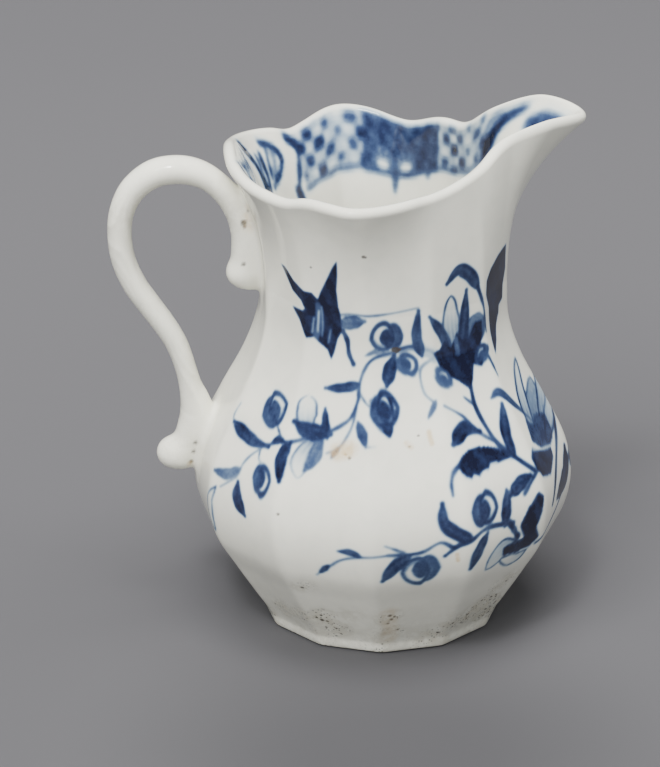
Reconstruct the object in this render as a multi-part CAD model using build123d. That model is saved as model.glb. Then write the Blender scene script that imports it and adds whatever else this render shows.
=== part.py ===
from build123d import *

import math
import os

# A small faceted porcelain cream jug: pear-shaped twelve-sided body, wavy lobed rim drawn out
# into a beak spout at +X, and a looped strap handle at -X. Millimetres, +Z up. The origin is
# on the table plane under the middle of the foot.

# ---- driving dimensions -------------------------------------------------------------------
FACETS = 12                 # flat panels round the body
FACET_SHARPNESS = 70        # higher is a crisper arris between panels
ARRIS_AT_FOOT = -3.0        # angle of one arris at the foot, degrees from the spout
ARRIS_TWIST = -0.11         # the panels lean a little, degrees per millimetre of height

FOOT_HEIGHT = 1.0           # foot ring under the wall
FOOT_INSET = 1.0            # how far the ring stands in from the wall's lower edge
FOOT_BORE_RADIUS = 20.0
BASE_RADIUS = 20.4          # the base disc let in between the two halves
BASE_THICKNESS = 3.2
FIT = 0.02                  # clay-to-clay joint line

NECK_HEIGHT = 72.0          # narrowest level, where the lip begins to flare
NECK_RADIUS = 24.8
FLARE_POWER = 2.5           # how late the lip turns outward
RIM_THICKNESS = 2.4
BELLY_THICKNESS = 2.9
HEEL_THICKNESS = 3.6        # wall just above the base
HEEL_HEIGHT = 9.0

SECTION_STEP = 6            # degrees between the wall's sections
LIP_STEPS = 6               # stations up the flare of the lip

# Body profile over the arrises: height, radius.
BODY_PROFILE = [
    (FOOT_HEIGHT, 24.8),
    (3.0, 25.4),
    (8.0, 28.6),
    (15.0, 33.0),
    (22.0, 37.0),
    (30.0, 38.5),
    (38.0, 37.1),
    (47.0, 32.8),
    (56.0, 28.0),
    (64.0, 25.3),
    (NECK_HEIGHT, NECK_RADIUS),
]

# Middle of the rim's thickness: angle from the spout, radius, height.
RIM_STATIONS = [
    (0, 39.0, 104.0),       # spout tip
    (12, 32.0, 105.0),      # shoulder of the lip
    (22, 25.0, 102.0),      # root of the beak
    (36, 22.5, 98.0),       # pinch behind the beak
    (54, 23.0, 96.3),       # front ripple
    (72, 24.4, 95.0),       # front dip
    (90, 28.0, 95.5),       # side arch
    (105, 30.2, 95.5),
    (120, 28.5, 94.6),      # rear dip
    (134, 28.5, 94.2),      # rear ripple
    (150, 30.0, 95.4),      # rear lobe
    (165, 30.2, 96.8),
    (180, 30.0, 98.0),      # over the handle
]

# Handle strap: x, z, thickness in the plane of the loop, width across it.
STRAP = [
    (-28.9, 68.9, 1.6, 2.4),    # tip of the upper curl
    (-28.6, 70.3, 4.9, 5.6),
    (-28.0, 72.8, 6.3, 6.8),
    (-27.3, 76.0, 5.2, 6.6),
    (-27.3, 80.5, 5.4, 6.8),    # pressed to the neck
    (-28.2, 84.6, 5.4, 6.8),
    (-30.4, 88.6, 5.0, 6.6),
    (-33.6, 91.9, 5.0, 6.4),
    (-37.2, 93.7, 5.4, 6.4),
    (-41.2, 94.1, 5.6, 6.4),    # top of the loop
    (-45.3, 93.1, 5.5, 6.4),
    (-49.2, 89.9, 5.2, 6.4),
    (-51.3, 85.4, 4.9, 6.4),
    (-51.8, 80.6, 4.8, 6.4),    # back of the loop
    (-51.1, 75.4, 4.8, 6.4),
    (-49.0, 70.4, 4.8, 6.4),
    (-46.3, 66.2, 4.7, 6.3),
    (-43.5, 62.1, 4.6, 6.2),
    (-41.0, 57.7, 4.4, 6.0),
    (-39.3, 52.6, 4.2, 6.0),
    (-38.4, 47.5, 4.3, 6.0),
    (-38.2, 42.8, 4.8, 6.2),    # meets the belly
    (-38.9, 38.9, 6.2, 6.6),
    (-40.3, 36.2, 7.2, 7.0),
    (-42.2, 34.6, 6.2, 6.8),
    (-43.9, 33.7, 4.4, 5.0),
    (-45.1, 33.1, 1.6, 2.2),    # tip of the lower kick
]

# Slip that lutes the strap to the wall: centre x and z, half sizes, lean from upright.
UPPER_SLIP = {"x": -24.2, "z": 80.0, "half": (1.5, 4.5, 11.0), "lean": 4.0}
LOWER_SLIP = {"x": -36.4, "z": 36.0, "half": (1.7, 4.4, 7.5), "lean": -12.0}


# ---- shape of the wall --------------------------------------------------------------------
def smooth_through(knots, value):
    """Smooth curve through (position, value) pairs, with each slope taken across its neighbours."""
    last = len(knots) - 1
    index = 0
    while index < last - 1 and value > knots[index + 1][0]:
        index += 1
    x0, y0 = knots[index]
    x1, y1 = knots[index + 1]
    before = knots[max(index - 1, 0)]
    after = knots[min(index + 2, last)]
    slope0 = (y1 - before[1]) / (x1 - before[0])
    slope1 = (after[1] - y0) / (after[0] - x0)
    span = x1 - x0
    t = (value - x0) / span
    return (
        (2 * t**3 - 3 * t**2 + 1) * y0
        + (t**3 - 2 * t**2 + t) * span * slope0
        + (3 * t**2 - 2 * t**3) * y1
        + (t**3 - t**2) * span * slope1
    )


def rim_at(angle):
    """Radius and height of the rim's middle at an angle; the jug is alike on both sides."""
    folded = abs((angle + 180.0) % 360.0 - 180.0)
    stations = (
        [(-a, r, z) for a, r, z in reversed(RIM_STATIONS[1:3])]
        + RIM_STATIONS
        + [(360 - a, r, z) for a, r, z in reversed(RIM_STATIONS[-3:-1])]
    )
    radius = smooth_through([(a, r) for a, r, z in stations], folded)
    height = smooth_through([(a, z) for a, r, z in stations], folded)
    return radius, height


def facet_factor(angle, height):
    """Radius of the soft twelve-sided outline against its corner radius."""
    total = 0.0
    pitch = 360.0 / FACETS
    for index in range(FACETS):
        middle = ARRIS_AT_FOOT + ARRIS_TWIST * height + pitch * (index + 0.5)
        total += max(0.0, math.cos(math.radians(angle - middle))) ** FACET_SHARPNESS
    return math.cos(math.radians(pitch / 2)) / total ** (1.0 / FACET_SHARPNESS)


def wall_thickness(height):
    """Thick at the heel, thinner over the belly, thinnest at the rim."""
    if height < HEEL_HEIGHT:
        share = height / HEEL_HEIGHT
        return HEEL_THICKNESS + (BELLY_THICKNESS - HEEL_THICKNESS) * share
    share = min(1.0, (height - HEEL_HEIGHT) / (NECK_HEIGHT - HEEL_HEIGHT))
    return BELLY_THICKNESS + (RIM_THICKNESS - BELLY_THICKNESS) * share


def lip_end(angle):
    """Outer end of the lip's flare at an angle: radius and height."""
    radius, height = rim_at(angle)
    rise = height - NECK_HEIGHT
    lean = math.atan(FLARE_POWER * (radius - NECK_RADIUS + RIM_THICKNESS / 2) / rise)
    half = RIM_THICKNESS / 2
    return radius + half * math.cos(lean), height - half * math.sin(lean)


def outer_profile(angle):
    """Points up the outside of the wall at one angle, as (radius, height)."""
    points = []
    for level, radius in BODY_PROFILE[:-1]:
        points.append((radius * facet_factor(angle, level), level))
    end_radius, end_height = lip_end(angle)
    for index in range(LIP_STEPS + 1):
        share = index / LIP_STEPS
        level = NECK_HEIGHT + (end_height - NECK_HEIGHT) * share
        radius = NECK_RADIUS + (end_radius - NECK_RADIUS) * share**FLARE_POWER
        flatness = (facet_factor(angle, level) - 1.0) * (1.0 - share)
        points.append((radius * (1.0 + flatness), level))
    return points


def inner_profile(outer):
    """The outside line moved inward by the wall's thickness, from the rim down."""
    points = []
    for index, (radius, height) in enumerate(outer):
        r0, z0 = outer[max(index - 1, 0)]
        r1, z1 = outer[min(index + 1, len(outer) - 1)]
        length = math.hypot(r1 - r0, z1 - z0)
        thickness = wall_thickness(height)
        inner_radius = radius - thickness * (z1 - z0) / length
        inner_height = height + thickness * (r1 - r0) / length
        if inner_height > FOOT_HEIGHT + BASE_THICKNESS + 2.0:
            points.append((inner_radius, inner_height))
    return points[::-1]


def even_spline(points):
    """A spline with evenly spaced parameters, so that every section's spline has the same knots."""
    last = len(points) - 1
    return Edge.make_spline(points, parameters=[index / last for index in range(last + 1)])


def wall_section(angle):
    """Closed outline of the wall cut by the half-plane at an angle from the spout."""
    plane = Plane(
        origin=(0, 0, 0),
        x_dir=(math.cos(math.radians(angle)), math.sin(math.radians(angle)), 0),
        z_dir=(math.sin(math.radians(angle)), -math.cos(math.radians(angle)), 0),
    )

    def place(point):
        return plane.from_local_coords((point[0], point[1], 0))

    outer = outer_profile(angle)
    inner = inner_profile(outer)
    top_out = outer[-1]
    top_in = inner[0]
    along = (outer[-1][0] - outer[-2][0], outer[-1][1] - outer[-2][1])
    reach = RIM_THICKNESS / 2 / math.hypot(*along)
    crown = (
        (top_out[0] + top_in[0]) / 2 + along[0] * reach,
        (top_out[1] + top_in[1]) / 2 + along[1] * reach,
    )
    floor_corner = (BASE_RADIUS, FOOT_HEIGHT + BASE_THICKNESS)
    lower_corner = (BASE_RADIUS, FOOT_HEIGHT)
    edges = [
        even_spline([place(point) for point in outer]),
        ThreePointArc(place(top_out), place(crown), place(top_in)),
        even_spline([place(point) for point in inner + [floor_corner]]),
        Line(place(floor_corner), place(lower_corner)),
        Line(place(lower_corner), place(outer[0])),
    ]
    return Wire(edges)


def wall_between(start, end):
    """The wall from one angle to another, as one solid with flat ends."""
    angles = range(start, end + 1, SECTION_STEP)
    return Solid.make_loft([wall_section(angle) for angle in angles])


# ---- base and foot ------------------------------------------------------------------------
def base_disc():
    """The round bat of clay that closes the bottom."""
    disc = Cylinder(BASE_RADIUS - FIT, BASE_THICKNESS, align=(Align.CENTER, Align.CENTER, Align.MIN))
    return Pos(0, 0, FOOT_HEIGHT) * disc


def foot_ring():
    """The low twelve-sided ring that the jug stands on, with an unglazed flat edge."""
    radius = BODY_PROFILE[0][1] - FOOT_INSET
    outline = RegularPolygon(radius, FACETS, rotation=ARRIS_AT_FOOT)
    outline = fillet(outline.vertices(), 4.0)
    ring = extrude(outline, FOOT_HEIGHT)
    bore = Cylinder(FOOT_BORE_RADIUS, FOOT_HEIGHT, align=(Align.CENTER, Align.CENTER, Align.MIN))
    return ring - bore


# ---- handle and its slip ------------------------------------------------------------------
def strap():
    """The rolled strap: ovals square to a smooth line through the stations."""
    path = Spline(*[(x, 0, z) for x, z, thickness, width in STRAP])
    sections = []
    for x, z, thickness, width in STRAP:
        tangent = path.tangent_at(path.param_at_point(Vector(x, 0, z)))
        plane = Plane(origin=(x, 0, z), x_dir=(0, 1, 0), z_dir=tangent)
        sections.append((plane * Ellipse(width / 2, thickness / 2)).face().outer_wire())
    return Solid.make_loft(sections)


def slip(settings):
    """A lens of slip on the wall, under and round one end of the strap."""
    lens = scale(Sphere(1.0), by=settings["half"])
    return Pos(settings["x"], 0, settings["z"]) * Rot(0, settings["lean"], 0) * lens


def largest(shape):
    """The main solid of a cut, without any crumbs behind the wall."""
    return max(shape.solids(), key=lambda solid: solid.volume)


def build():
    """Every piece of the jug by its node name."""
    left = wall_between(0, 180)
    right = wall_between(180, 360)
    upper = largest(slip(UPPER_SLIP) - left - right)
    lower = largest(slip(LOWER_SLIP) - left - right)
    handle = largest(strap() - left - right - upper - lower)
    return {
        "body_left_half": left,
        "body_right_half": right,
        "base_disc": base_disc(),
        "foot_ring": foot_ring(),
        "handle": handle,
        "upper_luting": upper,
        "lower_luting": lower,
    }


os.makedirs("parts", exist_ok=True)
for name, solid in build().items():
    solid.label = name
    export_step(solid, f"parts/{name}.step")
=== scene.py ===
import math

import bpy
import numpy as np
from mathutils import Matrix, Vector


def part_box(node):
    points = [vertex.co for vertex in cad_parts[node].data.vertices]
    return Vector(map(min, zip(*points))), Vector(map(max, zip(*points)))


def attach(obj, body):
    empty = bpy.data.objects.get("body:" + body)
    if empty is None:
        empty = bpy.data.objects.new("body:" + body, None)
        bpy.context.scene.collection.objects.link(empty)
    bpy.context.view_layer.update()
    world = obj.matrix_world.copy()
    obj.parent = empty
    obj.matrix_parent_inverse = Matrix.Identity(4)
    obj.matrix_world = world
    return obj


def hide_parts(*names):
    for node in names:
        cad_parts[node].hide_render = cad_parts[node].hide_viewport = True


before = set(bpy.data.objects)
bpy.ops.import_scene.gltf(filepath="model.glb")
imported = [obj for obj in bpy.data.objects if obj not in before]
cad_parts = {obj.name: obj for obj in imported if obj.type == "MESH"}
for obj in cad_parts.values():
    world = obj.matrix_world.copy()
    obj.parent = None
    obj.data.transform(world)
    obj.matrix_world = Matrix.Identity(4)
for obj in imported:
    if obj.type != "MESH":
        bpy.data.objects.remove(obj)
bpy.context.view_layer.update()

# A faceted porcelain cream jug, blue and white. Shapes are worked out in millimetres and turned
# to metres when a mesh is made. Angles are in degrees from the spout at +X, and the side that
# faces the camera is around -90 degrees.
MM = 0.001


# ==== Shape of the wall: the CAD part's sizes, but crisper arrises and a slightly shorter spout ====
FACETS = 12
FACET_SHARPNESS = 130       # how crisp the arrises are
ARRIS_TRIM = 0.9955         # keeps them at the radius of the CAD's softer arrises
ARRIS_AT_FOOT = -3.0        # angle of the first arris at the foot
ARRIS_TWIST = -0.11         # degrees that the arrises turn for each millimetre of height
FOOT_HEIGHT = 1.0
WALL_BOTTOM = 0.4           # the wall hangs a little way down round the foot
FOOT_INSET = 1.0
FOOT_CLEARANCE = 0.15       # between the foot and the wall that hangs round it
FOOT_BORE_RADIUS = 20.0
BASE_RADIUS = 20.4
BASE_TOP = 4.2
NECK_HEIGHT = 72.0
NECK_RADIUS = 24.8
FLARE_POWER = 2.5           # how late the neck turns out to the lip
RIM_THICKNESS = 2.4
BELLY_THICKNESS = 2.9
HEEL_THICKNESS = 3.6
HEEL_HEIGHT = 9.0

BODY_PROFILE = [            # height, radius over the arrises
    (FOOT_HEIGHT, 24.8),
    (3, 25.4),
    (8, 28.6),
    (15, 33),
    (22, 37),
    (30, 38.5),
    (38, 37.1),
    (47, 32.8),
    (56, 28),
    (64, 25.3),
    (NECK_HEIGHT, NECK_RADIUS),
]
FOOT_RADIUS = BODY_PROFILE[0][1] - FOOT_INSET
RIM_STATIONS = [            # angle, radius, height of the middle of the rim
    (0, 38.1, 104),
    (12, 32, 105),
    (22, 25, 102),
    (36, 22.5, 98),
    (54, 23, 96.3),
    (72, 24.4, 95),
    (90, 28, 95.5),
    (105, 30.2, 95.5),
    (120, 28.5, 94.6),
    (134, 28.5, 94.2),
    (150, 30, 95.4),
    (165, 30.2, 96.8),
    (180, 30, 98),
]
RIM_WAVES = [               # angle, how much the potter's hand raised or lowered the rim there
    (-180, 0),
    (-150, 0),
    (-135, -0.1),
    (-124, 0.6),
    (-115, 0.2),
    (-104, -0.5),
    (-92, -0.35),
    (-78, 0.35),
    (-62, 0.3),
    (-40, 0),
    (-24, -0.2),
    (-11, -0.8),
    (-3, -0.2),
    (6, 0),
    (30, -0.1),
    (42, -0.5),
    (60, 0.25),
    (76, -0.85),
    (84, -0.8),
    (94, 0.1),
    (103, 0.5),
    (111, 0.35),
    (117, 0),
    (126, -0.8),
    (130, -0.7),
    (138, 0.25),
    (150, 0.1),
    (165, 0),
    (180, 0),
]


def smooth_through(knots, values):
    """Smooth curve through (position, value) pairs, read at every one of an array of positions."""
    table = np.array(knots, float)
    where, level = table[:, 0], table[:, 1]
    index = np.clip(np.searchsorted(where, values) - 1, 0, len(where) - 2)
    before = np.maximum(index - 1, 0)
    after = np.minimum(index + 2, len(where) - 1)
    slope0 = (level[index + 1] - level[before]) / (where[index + 1] - where[before])
    slope1 = (level[after] - level[index]) / (where[after] - where[index])
    span = where[index + 1] - where[index]
    t = (values - where[index]) / span
    return (
        (2 * t**3 - 3 * t**2 + 1) * level[index]
        + (t**3 - 2 * t**2 + t) * span * slope0
        + (3 * t**2 - 2 * t**3) * level[index + 1]
        + (t**3 - t**2) * span * slope1
    )


def joined_by_lines(knots, values):
    """Straight lines through (position, value) pairs."""
    return np.interp(values, knots[:, 0], knots[:, 1])


def fine_columns(table, steps, through=smooth_through):
    """The columns of a table of places, read at fine steps between its rows."""
    table = np.asarray(table, float)
    row = np.arange(len(table), dtype=float)
    fine = np.linspace(0.0, len(table) - 1, (len(table) - 1) * steps + 1)
    return [through(np.stack([row, column], axis=-1), fine) for column in table.T]


def rim_at(angle):
    """Radius and height of the rim's middle: one outline for both sides of the spout, and small waves."""
    signed = (angle + 180.0) % 360.0 - 180.0
    folded = np.abs(signed)
    before = [(-a, r, z) for a, r, z in reversed(RIM_STATIONS[1:3])]
    after = [(360 - a, r, z) for a, r, z in reversed(RIM_STATIONS[-3:-1])]
    stations = np.array(before + RIM_STATIONS + after)
    radius = smooth_through(stations[:, [0, 1]], folded)
    height = smooth_through(stations[:, [0, 2]], folded)
    return radius, height + smooth_through(RIM_WAVES, signed)


def facet_factor(angle, height):
    """Radius of the soft twelve-sided outline against its corner radius."""
    pitch = 360.0 / FACETS
    total = 0.0
    for index in range(FACETS):
        middle = ARRIS_AT_FOOT + ARRIS_TWIST * height + pitch * (index + 0.5)
        total = total + np.maximum(0.0, np.cos(np.radians(angle - middle))) ** FACET_SHARPNESS
    return ARRIS_TRIM * math.cos(math.radians(pitch / 2)) / total ** (1.0 / FACET_SHARPNESS)


def lip_end(angle):
    """Outer end of the lip's flare: radius and height."""
    radius, height = rim_at(angle)
    half = RIM_THICKNESS / 2
    lean = np.arctan(FLARE_POWER * (radius - NECK_RADIUS + half) / (height - NECK_HEIGHT))
    return radius + half * np.cos(lean), height - half * np.sin(lean)


def outer_wall(angle, rise):
    """Radius and height of the outside. rise is 0 at the foot, 1 at the neck and 2 at the lip."""
    low = np.minimum(rise, 1.0)
    level = WALL_BOTTOM + (NECK_HEIGHT - WALL_BOTTOM) * low
    body_radius = smooth_through(BODY_PROFILE, np.maximum(level, FOOT_HEIGHT)) * facet_factor(angle, level)
    share = np.clip(rise - 1.0, 0.0, 1.0)
    end_radius, end_height = lip_end(angle)
    lip_height = NECK_HEIGHT + (end_height - NECK_HEIGHT) * share
    lip_radius = NECK_RADIUS + (end_radius - NECK_RADIUS) * share**FLARE_POWER
    flatness = (facet_factor(angle, lip_height) - 1.0) * (1.0 - share)
    on_lip = rise > 1.0
    radius = np.where(on_lip, lip_radius * (1.0 + flatness), body_radius)
    return radius, np.where(on_lip, lip_height, level)


def wall_thickness(height):
    """Thick at the heel, thinner over the belly, thinnest at the rim."""
    heel = HEEL_THICKNESS + (BELLY_THICKNESS - HEEL_THICKNESS) * height / HEEL_HEIGHT
    share = np.clip((height - HEEL_HEIGHT) / (NECK_HEIGHT - HEEL_HEIGHT), 0.0, 1.0)
    upper = BELLY_THICKNESS + (RIM_THICKNESS - BELLY_THICKNESS) * share
    return np.where(height < HEEL_HEIGHT, heel, upper)


def around(angle, radius, height):
    """Points from angles in degrees, radii and heights."""
    turn = np.radians(angle)
    return np.stack([radius * np.cos(turn), radius * np.sin(turn), height + 0.0 * turn], axis=-1)


# ==== Mesh helpers ====
def grid_faces(rows, columns, first=0):
    """Quads of a grid of points, row by row."""
    corner = first + np.arange(rows - 1)[:, None] * columns + np.arange(columns - 1)[None, :]
    quads = np.stack([corner, corner + 1, corner + columns + 1, corner + columns], axis=-1)
    return quads.reshape(-1, 4)


def grid_normals(points):
    """Unit normals of a grid of points by central differences."""
    across = np.gradient(points, axis=1)
    along = np.gradient(points, axis=0)
    normal = np.cross(across, along)
    return normal / np.maximum(np.linalg.norm(normal, axis=-1, keepdims=True), 1e-9)


def make_mesh(name, points, faces, normals=None, layers=None):
    """A mesh object from points in millimetres, with smooth shading and per-vertex values."""
    mesh = bpy.data.meshes.new(name)
    faces = np.asarray(faces)
    sides = faces.shape[1]
    mesh.vertices.add(len(points))
    mesh.vertices.foreach_set("co", (np.asarray(points, float) * MM).ravel())
    mesh.loops.add(faces.size)
    mesh.loops.foreach_set("vertex_index", faces.ravel().astype(np.int32))
    mesh.polygons.add(len(faces))
    mesh.polygons.foreach_set("loop_start", np.arange(0, faces.size, sides, dtype=np.int32))
    mesh.update(calc_edges=True)
    mesh.polygons.foreach_set("use_smooth", np.ones(len(faces), bool))
    for layer, values in (layers or {}).items():
        attribute = mesh.attributes.new(layer, "FLOAT", "POINT")
        attribute.data.foreach_set("value", np.asarray(values, float).ravel())
    mesh.validate()
    if normals is not None:
        mesh.normals_split_custom_set_from_vertices(np.asarray(normals, float).reshape(-1, 3))
    piece = bpy.data.objects.new(name, mesh)
    bpy.context.scene.collection.objects.link(piece)
    return piece


def stands_for(piece, material, node):
    """The piece rides on the jug in its material, and hides the CAD node it stands for."""
    piece.data.materials.append(material)
    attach(piece, "root")
    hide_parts(node)


# ==== The wall, as one grid that wraps from the foot over the rim to the inside floor ====
COLUMNS = 900               # round the whole jug
LOW_ROWS = 290              # foot to neck, outside
LIP_ROWS = 112              # neck to lip, outside
RIM_ROWS = 10               # over the rounded rim
INSIDE_LIP_ROWS = 96        # lip to neck, inside
INSIDE_LOW_ROWS = 70        # neck to floor, inside
OUTSIDE = LOW_ROWS + LIP_ROWS
LOWEST_INSIDE = 26          # the outside row that the lowest inside row lies behind
EDGE_ROUND = 0.35           # rounding of the wall's lower outside edge

angles = np.arange(COLUMNS + 1) * 360.0 / COLUMNS


def offset_inward(radius, height):
    """The outside section moved in along its own normal by the wall's thickness."""
    along_radius = np.gradient(radius, axis=0)
    along_height = np.gradient(height, axis=0)
    length = np.hypot(along_radius, along_height)
    thickness = wall_thickness(height)
    inner_radius = radius - thickness * along_height / length
    inner_height = height + thickness * along_radius / length
    return inner_radius, inner_height


def build_wall_grid():
    """Points of the wall by row and column, and the outside row that each inside row lies behind."""
    rise = np.concatenate([
        np.linspace(0.0, 1.0, LOW_ROWS, endpoint=False),
        1.0 + np.linspace(0.0, 1.0, LIP_ROWS),
    ])
    outer_radius, outer_height = outer_wall(angles[None, :], rise[:, None])
    inner_radius, inner_height = offset_inward(outer_radius, outer_height)

    edge = np.exp(-(outer_height - WALL_BOTTOM) / EDGE_ROUND)
    outer_radius = outer_radius - EDGE_ROUND * edge

    end_out = np.stack([outer_radius[-1], outer_height[-1]])
    end_in = np.stack([inner_radius[-1], inner_height[-1]])
    middle = (end_out + end_in) / 2
    outward = (end_out - end_in) / 2
    upward = np.stack([-outward[1], outward[0]])
    half_turn = np.linspace(0.0, math.pi, RIM_ROWS + 2)[1:-1, None]
    rim_radius = middle[0] + outward[0] * np.cos(half_turn) + upward[0] * np.sin(half_turn)
    rim_height = middle[1] + outward[1] * np.cos(half_turn) + upward[1] * np.sin(half_turn)

    lip_pick = np.linspace(OUTSIDE - 1, LOW_ROWS, INSIDE_LIP_ROWS).round().astype(int)
    low_pick = np.linspace(LOW_ROWS - 1, LOWEST_INSIDE, INSIDE_LOW_ROWS).round().astype(int)
    pick = np.concatenate([lip_pick, low_pick])
    floor_radius = np.full((1, COLUMNS + 1), BASE_RADIUS)
    floor_height = np.full((1, COLUMNS + 1), BASE_TOP)

    radius = np.concatenate([outer_radius, rim_radius, inner_radius[pick], floor_radius])
    height = np.concatenate([outer_height, rim_height, inner_height[pick], floor_height])
    points = around(np.broadcast_to(angles[None, :], radius.shape), radius, height)
    return points, radius, height, pick


wall, wall_radius, wall_height, behind_inside = build_wall_grid()
wall_angle = np.broadcast_to(angles[None, :], wall_radius.shape)


# ==== Painting: brush strokes laid on the wall's points. Places are (angle, height) on the outside. ====
STROKE_STEPS = 10           # fine steps between two places of a stroke
BRUSH_EDGE = 0.38           # softness of a stroke's edge, where the glaze has blurred the cobalt
LEAF_TIP = 0.32             # width of a leaf's tip against its fullest width

cobalt = np.zeros(wall_radius.shape)
soil = np.zeros(wall_radius.shape)
stain = np.zeros(wall_radius.shape)
pits = np.zeros(wall_radius.shape)


def smooth_step(value):
    """0 below 0, 1 above 1, and a soft rise between."""
    value = np.clip(value, 0.0, 1.0)
    return value * value * (3.0 - 2.0 * value)


def bulge(along, fullest):
    """A swelling from 0 at both ends to 1 at its fullest place."""
    return np.sin(math.pi * along ** (math.log(0.5) / math.log(fullest)))


def outside_points(spots):
    """Points on the outside at (angle, height) places."""
    angle, height = np.asarray(spots, float).T
    end_height = lip_end(angle)[1]
    low = (height - FOOT_HEIGHT) / (NECK_HEIGHT - FOOT_HEIGHT)
    high = 1.0 + (height - NECK_HEIGHT) / (end_height - NECK_HEIGHT)
    radius, level = outer_wall(angle, np.where(height > NECK_HEIGHT, high, low))
    return around(angle, radius, level)


class Patch:
    """The part of the wall that one stroke can reach, measured along and across the stroke."""

    def __init__(self, spots, reach, rounded=True):
        through = smooth_through if rounded else joined_by_lines
        angle, height = fine_columns(spots, STROKE_STEPS, through)
        line = outside_points(np.stack([angle, height], axis=-1))
        spread = math.degrees(reach / np.hypot(line[:, 0], line[:, 1]).min())
        first = int(math.floor((angle.min() - spread) * COLUMNS / 360.0))
        last = int(math.ceil((angle.max() + spread) * COLUMNS / 360.0))
        self.angle = np.arange(first, last + 1) * 360.0 / COLUMNS
        self.columns = np.arange(first, last + 1) % COLUMNS
        levels = wall_height[:OUTSIDE, self.columns[len(self.columns) // 2]]
        low = int(np.searchsorted(levels, height.min() - reach - 1.0))
        high = int(np.searchsorted(levels, height.max() + reach + 1.0))
        self.rows = np.arange(low, max(high, low + 1))
        block = wall[np.ix_(self.rows, self.columns)].reshape(-1, 3)
        self.measure(block, line)
        self.length = np.linalg.norm(np.diff(line, axis=0), axis=1).sum()

    def measure(self, block, line):
        """Distance from the stroke's middle, and places along and across it."""
        start = line[:-1]
        step = line[1:] - start
        offset = block[:, None, :] - start[None]
        share = np.clip((offset * step).sum(-1) / (step**2).sum(-1), 0.0, 1.0)
        gap = offset - share[..., None] * step
        distance = np.sqrt((gap**2).sum(-1))
        nearest = distance.argmin(axis=1)
        pick = np.arange(len(block))
        outward = block * np.array([1.0, 1.0, 0.0])
        outward /= np.linalg.norm(outward, axis=1, keepdims=True)
        heading = step[nearest] / np.linalg.norm(step[nearest], axis=1, keepdims=True)
        side = (np.cross(heading, offset[pick, nearest]) * outward).sum(-1)
        shape = (len(self.rows), len(self.columns))
        self.along = ((nearest + share[pick, nearest]) / len(step)).reshape(shape)
        self.distance = distance[pick, nearest].reshape(shape)
        self.across = side.reshape(shape)

    def under_brush(self, half):
        """How far a brush of this half width covers each place."""
        return smooth_step((half - self.distance) / BRUSH_EDGE + 0.5)

    def fading(self, width, fullness=1.3):
        """A cover that fades away over the width."""
        return smooth_step(fullness - fullness * self.distance / (width / 2))

    def encloses(self, spots):
        """Which places lie within the outline through the spots."""
        level = wall_height[np.ix_(self.rows, self.columns)]
        within = np.zeros(level.shape, bool)
        for (angle, height), (next_angle, next_height) in zip(spots, spots[1:] + spots[:1]):
            if height == next_height:
                continue
            crossed = (height > level) != (next_height > level)
            at = angle + (level - height) * (next_angle - angle) / (next_height - height)
            within ^= crossed & (self.angle < at)
        return within

    def lay(self, cover, tone, field=None):
        """Darken to a tone where the stroke covers."""
        field = cobalt if field is None else field
        area = np.ix_(self.rows, self.columns)
        field[area] = np.maximum(field[area], cover * tone)

    def lift(self, cover):
        """Take cobalt off where the stroke covers."""
        area = np.ix_(self.rows, self.columns)
        cobalt[area] = cobalt[area] * (1.0 - cover)


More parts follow.
